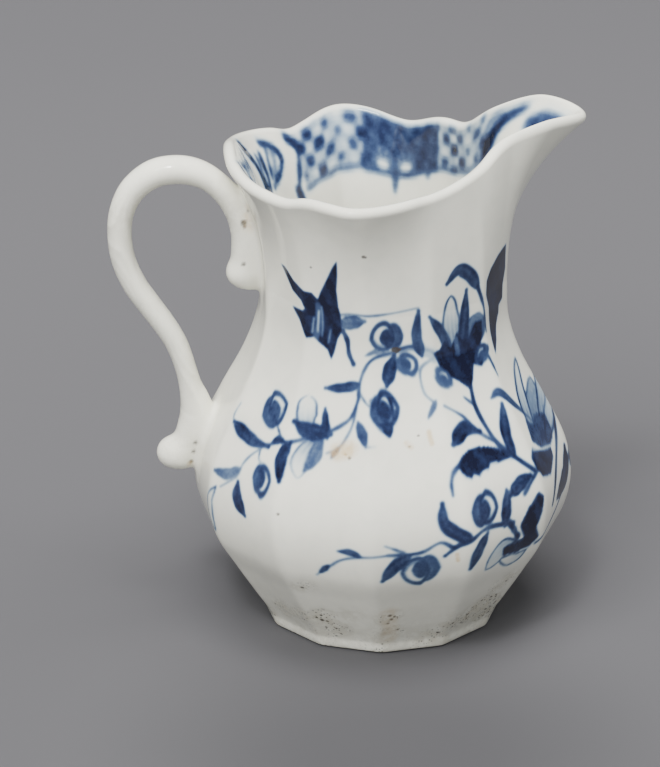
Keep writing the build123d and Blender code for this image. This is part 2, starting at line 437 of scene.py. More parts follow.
class Painter:
    """A hand that paints motifs, turned, raised or mirrored as a group."""

    def __init__(self, turn=0.0, raised=0.0, mirrored=False):
        self.turn = turn
        self.raised = raised
        self.side = -1.0 if mirrored else 1.0
        self.count = 0

    def moved(self, spots):
        """Places after this hand's turn, rise and mirroring."""
        return [(self.side * angle + self.turn, height + self.raised) for angle, height in spots]

    def patch(self, spots, reach):
        """A new stroke; the count gives each its own unevenness."""
        self.count += 1
        return Patch(self.moved(spots), reach)

    def blot(self, outline, tone):
        """A filled shape, deeper at its edge, with the streaks of a loaded brush."""
        self.count += 1
        corners = self.moved(outline)
        patch = Patch(corners + corners[:1], 1.0, rounded=False)
        within = patch.encloses(corners)
        depth = np.where(within, patch.distance, -patch.distance)
        level = wall_height[np.ix_(patch.rows, patch.columns)]
        streaks = 0.05 * np.sin(0.9 * level + 0.8 * patch.angle + self.count)
        pooled = 0.06 * np.exp(-patch.distance / 0.5)
        patch.lay(smooth_step(depth / BRUSH_EDGE + 0.5), tone * (0.95 + streaks + pooled))

    def waver(self, along, amount):
        """Unevenness of a hand-drawn edge, different for each stroke."""
        return 1.0 + amount * np.sin(11.0 * along + 2.3 * self.count) * np.sin(5.0 * along + self.count)

    def stem(self, spots, width, tone=0.75, thin_end=0.5):
        """A drawn line, full at its start and thinner at its end."""
        patch = self.patch(spots, width + 0.6)
        half = width / 2 * (1.0 + (thin_end - 1.0) * patch.along) * self.waver(patch.along, 0.22)
        patch.lay(patch.under_brush(half), tone * (0.9 + 0.1 * np.cos(9.0 * patch.along + self.count)))

    def leaf(self, spots, width, tone=0.85, fullest=0.45):
        """A brushed leaf from stalk to tip, deeper towards its edges."""
        patch = self.patch(spots, width / 2 + 0.8)
        along = patch.along
        half = width / 2 * np.maximum(bulge(along, fullest) ** 0.52, LEAF_TIP) * self.waver(along, 0.10)
        edge = np.clip(patch.distance / np.maximum(half, 0.1), 0.0, 1.0)
        streak = 0.05 * np.sin(4.5 * patch.across + 3.0 * along + self.count)
        pooled = 0.05 * np.cos(7.0 * along + self.count)
        patch.lay(patch.under_brush(half), tone * (0.88 + 0.14 * edge**2 + streak + pooled))

    def petal(self, spots, width, tip_tone=0.02, base_tone=0.6, outline=0.88, line=0.75, fullest=0.6):
        """A petal with a drawn outline, washed darker towards its base."""
        patch = self.patch(spots, width / 2 + 1.0)
        along = patch.along
        half = width / 2 * np.maximum(bulge(along, fullest) ** 0.55, 0.05) * self.waver(along, 0.08)
        depth = half - patch.distance
        inside = patch.under_brush(half)
        veins = 0.5 + 0.5 * np.cos(6.5 * patch.across + 2.0 * along)
        wash = tip_tone + (base_tone - tip_tone) * (1.0 - along) ** 1.5 * (0.7 + 0.4 * veins)
        patch.lift(inside * 0.9)
        patch.lay(inside, wash)
        rim = smooth_step(1.4 - np.abs(depth - line / 2) / (line / 2))
        patch.lay(rim, outline * (0.85 + 0.15 * np.sin(7.0 * along + self.count)))

    def bud(self, spots, width, lobe_side=1, tone=0.85, body=0.42):
        """A bud: a dark lobe on one side, and a ring with a pale crescent round a dark heart."""
        patch = self.patch(spots, width / 2 + 1.0)
        along = (patch.along - 0.5) * patch.length
        beyond = np.sqrt(np.maximum(patch.distance**2 - patch.across**2, 0.0))
        along = along + np.sign(along) * beyond
        across = patch.across * lobe_side * self.side
        half, tall = width / 2, patch.length / 2
        soft = BRUSH_EDGE / (0.5 * half)

        def oval(at_across, at_along, wide, high):
            """0 at an oval's middle and 1 at its edge."""
            return np.hypot((across / half - at_across) / wide, (along / tall - at_along) / high)

        def filled(shape):
            """Cover inside an oval, soft at its edge."""
            return smooth_step((1.0 - shape) / soft + 0.5)

        lobe = oval(0.40, -0.06, 0.62, 0.94)
        patch.lay(filled(lobe), tone * (0.78 + 0.22 * np.clip(lobe, 0, 1) ** 2))
        ring = oval(-0.26, 0.05, 0.74, 0.90)
        patch.lift(filled(ring) * 0.92)
        patch.lay(filled(ring), body)
        patch.lift(filled(oval(-0.24, 0.12, 0.50, 0.60)) * 0.85)
        patch.lay(filled(oval(-0.02, -0.06, 0.44, 0.58)), tone * 0.95)
        patch.lay(smooth_step(1.5 - np.abs(ring - 0.90) / (0.75 * soft)), tone * 0.95)

    def wash(self, spots, width, tone):
        """A soft patch of thin colour."""
        patch = self.patch(spots, width)
        patch.lay(patch.fading(width), tone * (0.8 + 0.2 * np.sin(5.0 * patch.across)))

    def streak(self, spots, width, amount):
        """A place where the brush left the white showing."""
        patch = self.patch(spots, width)
        patch.lift(patch.under_brush(width / 2) * amount)

    def dot(self, spot, width, field):
        """A small round mark in any of the wall's fields."""
        angle, height = spot
        patch = self.patch([(angle - 0.1, height), (angle + 0.1, height)], width)
        patch.lay(smooth_step((width / 2 - patch.distance) / 0.25 + 0.5), 1.0, field)


INSECT = [                  # outline of wings and body as angle and height
    (-146.5, 79.4), (-144, 79.2), (-138.5, 77), (-131.5, 75.6), (-127.5, 75.6), (-124.5, 74.4),
    (-122.5, 76.5), (-119.5, 79), (-116.5, 81.6), (-113.8, 83.4), (-114.3, 80), (-115, 77), (-114.3, 73.5),
    (-113.2, 72), (-112.6, 70.4), (-112.4, 68.6), (-114.5, 67), (-115.8, 64.3), (-117, 62.8),
    (-119.3, 64.6), (-123, 65.6), (-126.5, 66.6), (-130, 66.2), (-132, 67.6), (-134.5, 69.4),
    (-140, 71.4), (-132.5, 71.4), (-131, 72), (-133.4, 73.5), (-139.5, 74.8),
]


def paint_insect(hand):
    """A winged insect in flight, with a long feeler."""
    hand.blot(INSECT, 0.95)
    hand.streak([(-125, 66.8), (-124, 69.5), (-124.3, 73.2)], 1.3, 0.30)
    hand.streak([(-122.2, 67.2), (-121.9, 70), (-122.5, 73)], 0.4, 0.5)
    hand.streak([(-127, 67.5), (-126.3, 70.5)], 0.5, 0.55)
    hand.streak([(-124.3, 68), (-124, 72)], 0.4, 0.7)
    hand.streak([(-119, 66), (-118, 68.5)], 0.5, 0.45)
    hand.leaf([(-114, 69.8), (-107.5, 70.8), (-101.5, 71.4)], 2.8, 0.66)
    hand.stem([(-114, 71.8), (-108, 72.4), (-97, 72.5), (-87, 73), (-77, 73.8)], 0.6, 0.5, 0.8)
    hand.stem([(-112, 68.8), (-109.7, 67), (-108.7, 64.5), (-106.3, 62.6)], 1.0, 0.85, 1.0)


def paint_upper_branch(hand):
    """A branch of buds and leaves with one open flower, running down towards the handle."""
    hand.stem([(-88, 65), (-97, 64), (-101, 62), (-103, 59), (-103, 56.5)], 0.8, 0.7, 0.9)
    hand.stem([(-103, 56.5), (-104.5, 54), (-106.5, 52.5), (-110.5, 51), (-114, 50)], 0.8, 0.75, 1.0)
    hand.stem([(-103.5, 55), (-104.5, 52), (-106, 50), (-109, 47.5), (-113, 46.5)], 0.6, 0.6, 0.8)
    hand.leaf([(-108.5, 48), (-110, 46.7), (-111, 45.8)], 1.0, 0.8)
    hand.leaf([(-91, 65.5), (-96.5, 65.3), (-101, 64.5)], 1.1, 0.6)
    hand.leaf([(-103, 59), (-110.5, 58), (-118, 57.5)], 2.1, 0.85, fullest=0.35)
    hand.leaf([(-88, 64.5), (-90, 62), (-91.5, 58.8)], 2.7, 0.88, fullest=0.6)
    hand.bud([(-89.5, 65.3), (-91.5, 68), (-91.5, 71.5)], 6.4, -1, 0.8)
    hand.bud([(-86, 64.5), (-82.5, 62.5), (-80.5, 60.3)], 4.0, -1, 0.7)
    hand.leaf([(-75.5, 64), (-77.8, 68), (-77, 73.2)], 2.2, 0.8, fullest=0.4)
    hand.wash([(-74.5, 65), (-71.5, 64.5), (-69.5, 63.5)], 3.4, 0.4)
    hand.wash([(-86, 65.3), (-80, 65.8), (-76, 65)], 2.0, 0.75)
    hand.stem([(-102.5, 57.5), (-100, 56), (-97.5, 55)], 0.6, 0.6)
    hand.leaf([(-90.8, 50.3), (-93.8, 53.3), (-97.5, 56.3)], 3.6, 0.5, fullest=0.55)
    hand.leaf([(-90.6, 50.2), (-91.5, 51.8), (-92.5, 53.8)], 2.2, 0.9)
    hand.bud([(-91, 51), (-92.5, 54.5), (-94.5, 58.3)], 5.4, 1, 0.85, 0.55)
    hand.stem([(-90.4, 50.6), (-89, 53.4), (-90.5, 56.5), (-94, 58)], 0.8, 0.9, 0.8)
    hand.leaf([(-102.5, 52.5), (-100.5, 50.5), (-99, 48.5)], 2.0, 0.75)
    hand.stem([(-99, 48.5), (-95.5, 48.6)], 0.5, 0.4)
    hand.petal([(-119, 49.5), (-123, 52), (-124.5, 55.8)], 4.8, 0.04, 0.55, 0.75, 0.55, 0.65)
    hand.petal([(-118, 49), (-121.5, 45.5), (-121.3, 41.5)], 3.9, 0.05, 0.5, 0.65, 0.45, 0.6)
    hand.leaf([(-116, 49.5), (-117, 45.8), (-119.5, 43)], 2.8, 0.66)
    hand.leaf([(-127.5, 51), (-121, 49.8), (-112.5, 49.8)], 3.4, 0.88, fullest=0.6)
    hand.leaf([(-113.5, 49), (-115, 51), (-116.5, 54)], 1.9, 0.9, fullest=0.4)
    hand.stem([(-121, 48.5), (-126.5, 47.5), (-131, 47), (-135, 45.8), (-139.5, 45)], 0.8, 0.8, 0.9)
    hand.bud([(-134, 48.6), (-138.5, 51.5), (-143, 54.5)], 6.6, 1, 0.82)
    hand.stem([(-134, 49), (-131.5, 48), (-129.5, 47.2)], 0.7, 0.75)
    hand.leaf([(-134.5, 46.3), (-131.5, 47.2), (-128.5, 47.2)], 1.7, 0.9)
    hand.leaf([(-126.5, 47.5), (-128.5, 44.5), (-127, 40.5)], 2.9, 0.93, fullest=0.55)
    hand.leaf([(-135.5, 45.3), (-142.5, 45), (-149, 45.5), (-156, 46.5)], 2.9, 0.87, fullest=0.6)
    hand.stem([(-155, 45.8), (-157.5, 47.5), (-157, 50)], 0.7, 0.5, 0.4)
    hand.stem([(-137.5, 45), (-142, 42.7), (-144.5, 40.5), (-145.5, 38), (-152, 34.5)], 0.6, 0.5, 0.8)
    hand.stem([(-139, 44.5), (-138, 42.5), (-135, 42.2)], 0.5, 0.6)
    hand.bud([(-136, 42.4), (-134.5, 39.5), (-134, 36)], 4.9, -1, 0.8)
    hand.leaf([(-145, 39.5), (-150, 37.5), (-156, 37)], 2.4, 0.62)
    hand.leaf([(-144.5, 37), (-143.5, 33.8), (-139.5, 31.2)], 2.9, 0.9, fullest=0.5)
    hand.petal([(-153.5, 34.5), (-157, 30), (-155.5, 24)], 3.0, 0.05, 0.1, 0.75, 0.5)


TALL_LEAF = [
    (-16.5, 80.3), (-26, 79.2), (-34, 77.6), (-38.2, 75.8), (-38.5, 73), (-35.5, 70), (-35, 66.5),
    (-34.3, 63), (-34, 60.3), (-29.5, 62.4), (-27, 65), (-23, 67), (-22.5, 68.5), (-18, 69.2),
    (-17.6, 71.5), (-15, 75),
]
LILY_HEART = [
    (-70.5, 64.4), (-67, 64.8), (-64.2, 66.4), (-60.5, 64.6), (-57, 67.4), (-54, 65.6), (-50, 65.6),
    (-46, 68.4), (-42, 68.2), (-41.7, 65.4), (-44.3, 63), (-42.8, 61), (-45, 59.4), (-49.3, 60.3),
    (-51.6, 57.6), (-54, 56), (-59.3, 58.2), (-64.3, 59.6), (-68, 61.8),
]
TOOTHED_LEAF = [
    (-45, 42.4), (-48.5, 44.4), (-52.8, 45.5), (-57.8, 46.2), (-62.6, 46.2), (-66.2, 45.4), (-67.6, 44),
    (-67, 42.8), (-65.6, 41.9), (-63.6, 41.3), (-62.4, 41.9), (-60.2, 41.3), (-58.8, 42.1), (-56.4, 41.9),
    (-54.8, 42.7), (-51, 42.6),
]


def paint_lily(hand):
    """A large lily with its scrolls, leaves and stem below."""
    hand.blot(TALL_LEAF, 1)
    hand.leaf([(-44.5, 75), (-49.5, 78.3), (-56.5, 80), (-63, 77.8)], 2.8, 0.82, fullest=0.4)
    hand.stem([(-45, 75.5), (-41, 71), (-39, 65.5)], 0.9, 0.85)
    hand.petal([(-56.5, 62), (-60, 69), (-60.5, 75.2)], 4.6, 0.05, 0.7, 0.85, 0.65, 0.5)
    hand.leaf([(-60, 62), (-65, 67.5), (-72, 71.8)], 2.3, 0.8, fullest=0.4)
    hand.petal([(-52, 61.5), (-47, 66), (-43.5, 70)], 5.4, 0.50, 0.92, 0.7, 0.5)
    hand.leaf([(-54, 62.5), (-52.5, 68.5), (-51.5, 75.5)], 2.6, 0.87, fullest=0.4)
    hand.blot(LILY_HEART, 0.96)
    hand.streak([(-57, 63), (-57.5, 66)], 1.1, 0.3)
    hand.bud([(-48, 60), (-43.5, 61.7), (-39.5, 62.2)], 3.2, -1, 0.8)
    hand.stem([(-42, 62.5), (-39.5, 59.5), (-38, 56.8)], 0.8, 0.85)
    hand.bud([(-63, 57.6), (-66.8, 59.4), (-70, 61.2)], 3.2, 1, 0.68, 0.35)
    hand.stem([(-70.5, 63.5), (-76.5, 61.5), (-76, 57.5), (-72.5, 55.5)], 0.7, 0.45, 0.8)
    hand.leaf([(-71.5, 55.8), (-73, 54.5), (-75.5, 52.8)], 1.2, 0.65)
    hand.stem([(-53.5, 57), (-54, 53), (-52, 49), (-49, 45.5), (-44, 42.5), (-38, 39)], 1.1, 0.85, 0.9)
    hand.stem([(-54, 53.2), (-58.5, 55.2)], 0.8, 0.8)
    hand.stem([(-49.5, 46), (-55.5, 48.5), (-60, 51.5), (-63.5, 53), (-68.5, 54.7)], 0.8, 0.7, 0.7)
    hand.leaf([(-55.5, 48.7), (-62, 50), (-68, 48)], 3.5, 0.9, fullest=0.6)
    hand.leaf([(-44, 42.5), (-44.5, 47), (-41.5, 52)], 2.6, 0.92, fullest=0.5)
    hand.leaf([(-26.5, 46), (-34, 50.5), (-40.5, 54), (-45.5, 53.5)], 1.7, 0.78, fullest=0.6)
    hand.blot(TOOTHED_LEAF, 0.97)
    hand.stem([(-66, 44.8), (-69.3, 43.5), (-70.9, 41.6), (-71, 39.2)], 1.1, 0.8, 0.6)


CALYX = [
    (-31.5, 47.4), (-27.5, 45.4), (-23.5, 46.6), (-15, 45), (-15.5, 42), (-17.5, 40.4), (-22.5, 39.6),
    (-28.5, 40.9), (-33.5, 43.4),
]
CUP = [
    (-35.5, 42.6), (-28.5, 40.6), (-21.5, 39.4), (-22, 37.6), (-27.5, 35.4), (-34, 36.6), (-37, 38.8),
    (-38, 41.3),
]
FOLDED_PETAL = [
    (-44, 25.8), (-46.5, 29.2), (-43, 32.2), (-38.5, 34.6), (-36.3, 33.2), (-37.5, 30), (-39.5, 27.2),
    (-37.3, 24.5), (-40.5, 23), (-46.5, 22.8), (-52.2, 23.4), (-52.7, 25.2), (-48, 25.7),
]


def paint_second_flower(hand):
    """A tall flower beside the spout, with upright stems and long leaves."""
    hand.petal([(-29, 41.5), (-22, 46), (-12, 52)], 7.5, 0.35, 0.9, 0.85, 0.6, 0.5)
    hand.petal([(-29, 42), (-26.5, 50), (-16.5, 56.8)], 4.2, 0.06, 0.75, 0.9, 0.75, 0.5)
    hand.petal([(-24, 41.5), (-12, 47.5), (1, 53)], 4.6, 0.10, 0.75, 0.9, 0.75, 0.5)
    hand.petal([(-24, 40.5), (-13, 44), (-3, 47.5)], 4.4, 0.10, 0.7, 0.9, 0.7, 0.5)
    hand.blot(CALYX, 0.78)
    hand.blot(CUP, 0.93)
    hand.streak([(-35, 42.3), (-28.5, 41), (-21.5, 40)], 0.6, 0.75)
    hand.stem([(-44, 35.5), (-38, 38.5), (-34, 39)], 1.0, 0.8, 1.0)
    hand.stem([(-28, 29.5), (-22, 35.5), (-13, 41), (-8, 44)], 1.3, 0.93, 0.7)
    hand.leaf([(-22.5, 29.5), (-14, 32), (-10.5, 37)], 4.6, 0.98)
    hand.stem([(-12.5, 32), (-22.5, 27), (-38, 23.5)], 1.1, 0.92)
    hand.leaf([(-4, 40), (4, 44.5), (12, 46.5)], 3.6, 0.8)
    hand.bud([(-9, 33), (-2, 35), (5, 35.5)], 5.0, 1, 0.8)


def paint_lower_branch(hand):
    """A low branch that runs round the belly and ends in a thin tendril."""
    hand.leaf([(-49.5, 36.2), (-45, 37.7), (-40.5, 38.5)], 3.2, 0.88)
    hand.stem([(-50.5, 37), (-53, 35), (-52.5, 31)], 0.8, 0.8)
    hand.bud([(-61, 31.8), (-60.6, 35.3), (-59.5, 39.2)], 6.6, 1, 0.84)
    hand.leaf([(-53, 30.5), (-52, 34), (-51, 37.5)], 2.6, 0.88)
    hand.stem([(-51, 31), (-47, 27)], 1.4, 0.9, 1.0)
    hand.stem([(-49.5, 30.5), (-57.5, 31.5), (-62, 31.3), (-66.5, 30), (-71.5, 29)], 1.1, 0.82, 0.9)
    hand.stem([(-71.5, 29), (-75.5, 30.3), (-80.5, 28.7), (-85, 28.3), (-91.5, 28.5)], 0.9, 0.75, 0.8)
    hand.stem([(-91.5, 28.5), (-99.5, 28), (-105.5, 26.8), (-109.5, 24.8), (-114, 22.3)], 0.7, 0.6, 0.7)
    hand.stem([(-86.5, 28.8), (-92.5, 30.6)], 0.7, 0.7)
    hand.stem([(-69.5, 29.7), (-74, 27.3)], 1.0, 0.8, 0.8)
    hand.leaf([(-66, 30.2), (-71.5, 32.3), (-74.5, 34.5), (-74.5, 38)], 3.0, 0.88, fullest=0.35)
    hand.leaf([(-60, 30.5), (-63, 27.5), (-65.5, 23.5)], 2.7, 0.82, fullest=0.5)
    hand.petal([(-46, 25.5), (-52.5, 25.5), (-58.5, 21.5)], 4.6, 0.12, 0.5, 0.9, 0.5)
    hand.petal([(-41, 22.8), (-46, 21.5), (-53, 22.8)], 3.4, 0.05, 0.3, 0.85, 0.5)
    hand.blot(FOLDED_PETAL, 0.96)
    hand.bud([(-81, 28.2), (-81.2, 24.5), (-80.5, 20.3)], 7.8, 1, 0.72)
    hand.leaf([(-85, 27.8), (-89, 26), (-93, 22.5)], 3.0, 0.8)
    hand.leaf([(-99, 28), (-102.5, 28.8), (-106.5, 28.7)], 1.5, 0.78)
    hand.leaf([(-109.5, 25.2), (-111.3, 24), (-113, 22.9)], 1.3, 0.88)


def paint_side(hand):
    """Everything painted on one side of the jug."""
    paint_insect(hand)
    paint_upper_branch(hand)
    paint_second_flower(hand)
    paint_lily(hand)
    paint_lower_branch(hand)


# ---- The border inside the lip ----
BORDER_TOP = -1.1           # drop of its upper edge below the lip's outer edge
BORDER_DEPTH = 9.8          # drop of its lower edge
CELL_WIDE = 2.35
CELL_TALL = 2.45
PANEL_CENTRE = 76.5         # reserved panel on each side
PANEL_HALF = 19.5
SCROLL_END = 131.0          # scrolls close the border at the handle's end
SPOUT_BAND = 21.0           # and a dark band crosses it at the spout
MM_PER_DEGREE = 0.43        # round the inside of the lip
BORDER_STEPS = 8            # fine steps between two places of a line in the border
FAR_AWAY = 99.0             # further than any measured distance, in millimetres

BORDER_LINES = [            # (angle, drop) places, width, tone
    ([(133, 0), (130, 0.8), (127, 2.2)], 2, 0.86),
    ([(128.5, 1.4), (129.5, 3.6), (131, 6), (132.6, 8.4), (133.4, 10.2)], 1.05, 0.85),
    ([(133.4, 9.8), (132.4, 11.4)], 1.9, 0.88),
    ([(24.5, 9), (23.3, 6.9), (21.8, 5.2), (20, 3.6)], 2.3, 0.95),
    ([(20.4, 4), (18.2, 2.5), (16.2, 1.5), (14, 0.7)], 1.8, 0.80),
    ([(29, 9.5), (25.5, 6), (23.5, 2.4), (20, 0.6)], 1.4, 0.50),
    ([(10, 4.3), (10.2, 2.7), (8.6, 1.5), (7.3, 0.6)], 1, 0.55),
    ([(9, 2.8), (6.7, 1.9), (4.4, 1.2), (1, 1)], 1.9, 0.72),
    ([(8.6, 4.3), (6.7, 3.2), (3.8, 2.5), (0, 1.7)], 0.9, 0.90),
    ([(166.5, -0.4), (164, 1.6), (161.2, 4.2), (160, 7.5), (160.3, 10.4)], 1.5, 0.96),
    ([(153, 2.2), (154.5, 4.5), (154.8, 6.8), (157, 9.6)], 1.2, 0.90),
    ([(157, 2.4), (157.8, 5), (158.4, 8.5)], 0.8, 0.80),
    ([(149.5, 0.4), (144.5, 1), (141, 2.4), (140.3, 4.2), (143.7, 6.4), (152, 8.8)], 1.1, 0.93),
    ([(147.5, 1.8), (149.5, 4.2), (151.5, 7)], 0.8, 0.80),
    ([(144.5, 2.6), (145.5, 4.6), (149, 6.6)], 1.5, 0.42),
    ([(172, 3), (176, 6), (180, 7)], 0.9, 0.85),
    ([(172, 0.6), (176, 2.4), (180, 2.8)], 1.5, 0.75),
]
PANEL_FANS = (-0.6, 4.5)    # two shell fans, off the middle of the panel
FAN_DROP = 7.8
FAN_REACH = 2.7


def band_mask(value, low, high, soft):
    """1 between two values and 0 beyond them, with soft ends."""
    return smooth_step((value - low) / soft + 0.5) * smooth_step((high - value) / soft + 0.5)


def paint_diaper(arc, drop):
    """Dark and pale cells by turns over a faint lattice."""
    across = arc / CELL_WIDE + 0.12 * np.sin(0.8 * drop + 0.5 * arc)
    down = (drop - BORDER_TOP) / CELL_TALL + 0.14 * np.sin(0.7 * arc + 1.0)
    column, row = np.floor(across), np.floor(down)
    off_across = np.abs(across - column - 0.5)
    off_down = np.abs(down - row - 0.5)
    square = (off_across**3 + off_down**3) ** (1 / 3)
    uneven = 0.10 * np.sin(1.7 * column + 2.9 * row + 1.0)
    dark_cell = (column + row) % 2 == 0
    dark = smooth_step((0.44 + uneven - square) / 0.30 + 0.5) * (0.80 + uneven)
    cloud = 0.5 + 0.5 * np.sin(0.9 * arc + 1.1 * drop) * np.sin(0.6 * arc - 0.7 * drop + 1.0)
    pale = 0.10 + 0.24 * cloud + 0.22 * smooth_step((square - 0.40) / 0.12)
    return np.where(dark_cell, np.maximum(dark, 0.22), pale)


def paint_panel(across, drop):
    """Dark ground with two ribbed shell fans, white at their hearts."""
    tone = 0.76 + 0.10 * np.sin(across * 1.9 + 0.7 * drop) * np.cos(drop * 1.1)
    for middle in PANEL_FANS:
        sideways = across - middle
        upward = FAN_DROP - drop
        reach = np.hypot(sideways, upward / 1.35) / FAN_REACH
        turn = np.arctan2(sideways, upward + 0.6)
        ribs = 0.58 + 0.10 * np.cos(13.0 * turn)
        fan = smooth_step((1.0 - reach) / 0.16 + 0.5) * smooth_step((upward + 1.2) / 0.5 + 0.5)
        tone = tone * (1.0 - fan) + fan * ribs
        heart = np.hypot(sideways / 1.25, (upward + 0.1) / 1.0)
        tone = tone * (1.0 - 0.92 * smooth_step((1.0 - heart) / 0.4 + 0.5))
        rim = smooth_step(1.3 - np.abs(reach - 1.0) / 0.10) * smooth_step((upward + 1.4) / 0.5 + 0.5)
        tone = np.maximum(tone, rim * 0.90)
    return tone


def border_line(angle, drop, path, width):
    """How far a brushed line inside the lip covers each place."""
    near = np.full(angle.shape, FAR_AWAY)
    for place, low in zip(*fine_columns(path, BORDER_STEPS)):
        near = np.minimum(near, np.hypot((angle - place) * MM_PER_DEGREE, drop - low))
    swell = 1.0 + 0.2 * np.sin(0.35 * angle + drop)
    return smooth_step((width / 2 * swell - near) / 0.45 + 0.5)


def paint_border():
    """Diaper ground with a reserved panel on each side, scrolls, and sprays at both ends."""
    first = OUTSIDE + RIM_ROWS
    angle = np.abs((wall_angle[first:] + 180.0) % 360.0 - 180.0)
    drop = lip_end(wall_angle[first:])[1] - wall_height[first:]
    arc = angle * MM_PER_DEGREE
    lower_edge = BORDER_DEPTH + 0.16 * np.sin(arc * 1.3)
    in_band = band_mask(drop, BORDER_TOP, lower_edge, 0.8)
    edge_line = smooth_step(1.5 - np.abs(drop - lower_edge + 0.4) / 0.5) * 0.66
    paint = np.maximum(in_band * paint_diaper(arc, drop), edge_line)
    paint = paint * band_mask(angle, SPOUT_BAND + 4.0, SCROLL_END - 2.0, 3.0)

    from_panel = (angle - PANEL_CENTRE) * MM_PER_DEGREE
    reach = PANEL_HALF * MM_PER_DEGREE
    panel = band_mask(from_panel, -reach, reach, 0.8) * band_mask(drop, BORDER_TOP, BORDER_DEPTH + 0.3, 0.8)
    paint = paint * (1.0 - panel) + panel * paint_panel(from_panel, drop)
    for place, length in ((PANEL_CENTRE + 4.0, 3.8), (PANEL_CENTRE - 14.0, 1.6)):
        taper = np.clip(1.0 - (drop - BORDER_DEPTH) / length, 0.0, 1.0)
        sideways = np.abs(angle - place) * MM_PER_DEGREE
        pendant = smooth_step((0.9 * np.sqrt(taper) - sideways) / 0.5 + 0.5) * band_mask(
            drop, BORDER_DEPTH - 1.0, BORDER_DEPTH + length, 0.6
        )
        paint = np.maximum(paint, pendant * 0.62)
    for path, width, tone in BORDER_LINES:
        paint = np.maximum(paint, border_line(angle, drop, path, width) * tone)
    cobalt[first:] = np.maximum(cobalt[first:], paint)


def blurred(field, passes):
    """A field spread over its neighbours on the wall's grid."""
    for _ in range(passes):
        whole = field[:, :COLUMNS]
        whole = 0.5 * whole + 0.25 * (np.roll(whole, 1, axis=1) + np.roll(whole, -1, axis=1))
        tall = np.pad(whole, ((1, 1), (0, 0)), mode="edge")
        whole = 0.5 * tall[1:-1] + 0.25 * (tall[2:] + tall[:-2])
        field = np.concatenate([whole, whole[:, :1]], axis=1)
    return field


def fired(painted):
    """The cobalt as the kiln leaves it: bled into the glaze, and more so inside the lip."""
    crisp = blurred(painted, 1)
    bled = blurred(crisp, 12)
    crisp[OUTSIDE:] = blurred(crisp[OUTSIDE:], 7)
    return np.clip(0.92 * crisp + 0.14 * bled, 0.0, 1.0)


paint_side(Painter())
paint_side(Painter(turn=8.0, raised=-0.5, mirrored=True))
paint_border()


# ---- Soil, pits and stains from use and from the kiln ----
GRIME = [                   # angle, height, width, amount of grime in patches near the foot
    (-138, 7.5, 9, 0.8),
    (-128, 8, 8, 0.7),
    (-118, 8.5, 10, 1),
    (-113, 5.5, 9, 0.8),
    (-90.5, 11, 6, 1),
    (-89.5, 6, 7, 0.9),
    (-68, 3.8, 9, 0.9),
    (-60, 6, 10, 0.9),
    (-50, 8, 12, 1),
    (-40, 6, 10, 0.9),
    (-43, 14, 9, 0.6),
    (-120, 18, 6, 0.5),
    (-106, 10.5, 9, 0.4),
    (-20, 6, 12, 0.8),
    (8, 8, 12, 0.7),
    (35, 5, 14, 0.8),
    (62, 8, 10, 0.6),
    (92, 5, 12, 0.9),
    (-62, 6, 9, 0.75),
    (-46, 9, 10, 0.8),
    (-118, 5, 9, 0.6),
    (121, 9, 11, 0.7),
    (148, 6, 12, 0.8),
    (176, 8, 12, 0.7),
    (-165, 6, 10, 0.7),
]
GRIME_HEIGHT = 16.0         # how far up the grime reaches
GRIME_BY_ARRIS = 5.0        # and how many degrees to each side of an arris
STAINS = [                  # (angle, height) places, width, amount of rust
    ([(-109, 47), (-105, 47.8)], 5.0, 0.9),
    ([(-70.3, 27.4), (-69.8, 26)], 1.3, 1.0),
    ([(-76, 50.5), (-75.5, 48.5)], 1.6, 0.8),
    ([(-84.5, 48.8), (-83, 48.2)], 1.8, 0.7),
    ([(-90.5, 13), (-89.5, 5)], 5.0, 0.35),
]
PITS = [                    # angle, height, width
    (-104.5, 46.3, 0.6), (-106, 46.8, 0.4), (-101.5, 85.2, 0.7), (-100.8, 85.1, 0.5),
    (-88.3, 65.5, 1), (-87, 65.4, 1.2), (-85.8, 65.5, 0.7), (-83.6, 48.2, 0.4),
    (-80, 50, 0.4), (-125.5, 34.5, 0.5), (-127, 81, 0.4), (-90, 12, 0.8),
    (-89.3, 10.8, 0.7), (-90.6, 9.6, 0.6), (-118, 8.6, 0.8), (-120.5, 18, 0.7),
    (64, 40, 0.5), (118, 61, 0.5), (150, 20, 0.7), (31, 66, 0.4),
]


def soil_wall():
    """Grime that gathers low down and along the arrises, with pits, rust and a few stains."""
    hand = Painter()
    outside = slice(0, OUTSIDE)
    height = wall_height[outside]
    arris = ARRIS_AT_FOOT + ARRIS_TWIST * height
    pitch = 360.0 / FACETS
    from_arris = np.abs((wall_angle[outside] - arris + pitch / 2) % pitch - pitch / 2)
    low = np.clip(1.0 - (height - FOOT_HEIGHT) / GRIME_HEIGHT, 0.0, 1.0)
    near_arris = np.clip(1.0 - from_arris / GRIME_BY_ARRIS, 0.0, 1.0)
    soil[outside] = low**1.5 * (0.42 + 0.45 * near_arris)
    soil[outside] = np.maximum(soil[outside], 0.35 * np.exp(-(height - WALL_BOTTOM) / 0.5))
    for angle, level, width, amount in GRIME:
        patch = hand.patch([(angle - 2.0, level), (angle + 2.0, level + 1.0)], width)
        patch.lay(patch.fading(width, 1.2), amount, soil)
    for spots, width, amount in STAINS:
        patch = hand.patch(spots, width)
        patch.lay(patch.fading(width), amount, stain)
    for angle, level, width in PITS:
        hand.dot((angle, level), width, pits)


soil_wall()
layers = {"cobalt": fired(cobalt), "soil": soil, "stain": stain, "pits": pits}


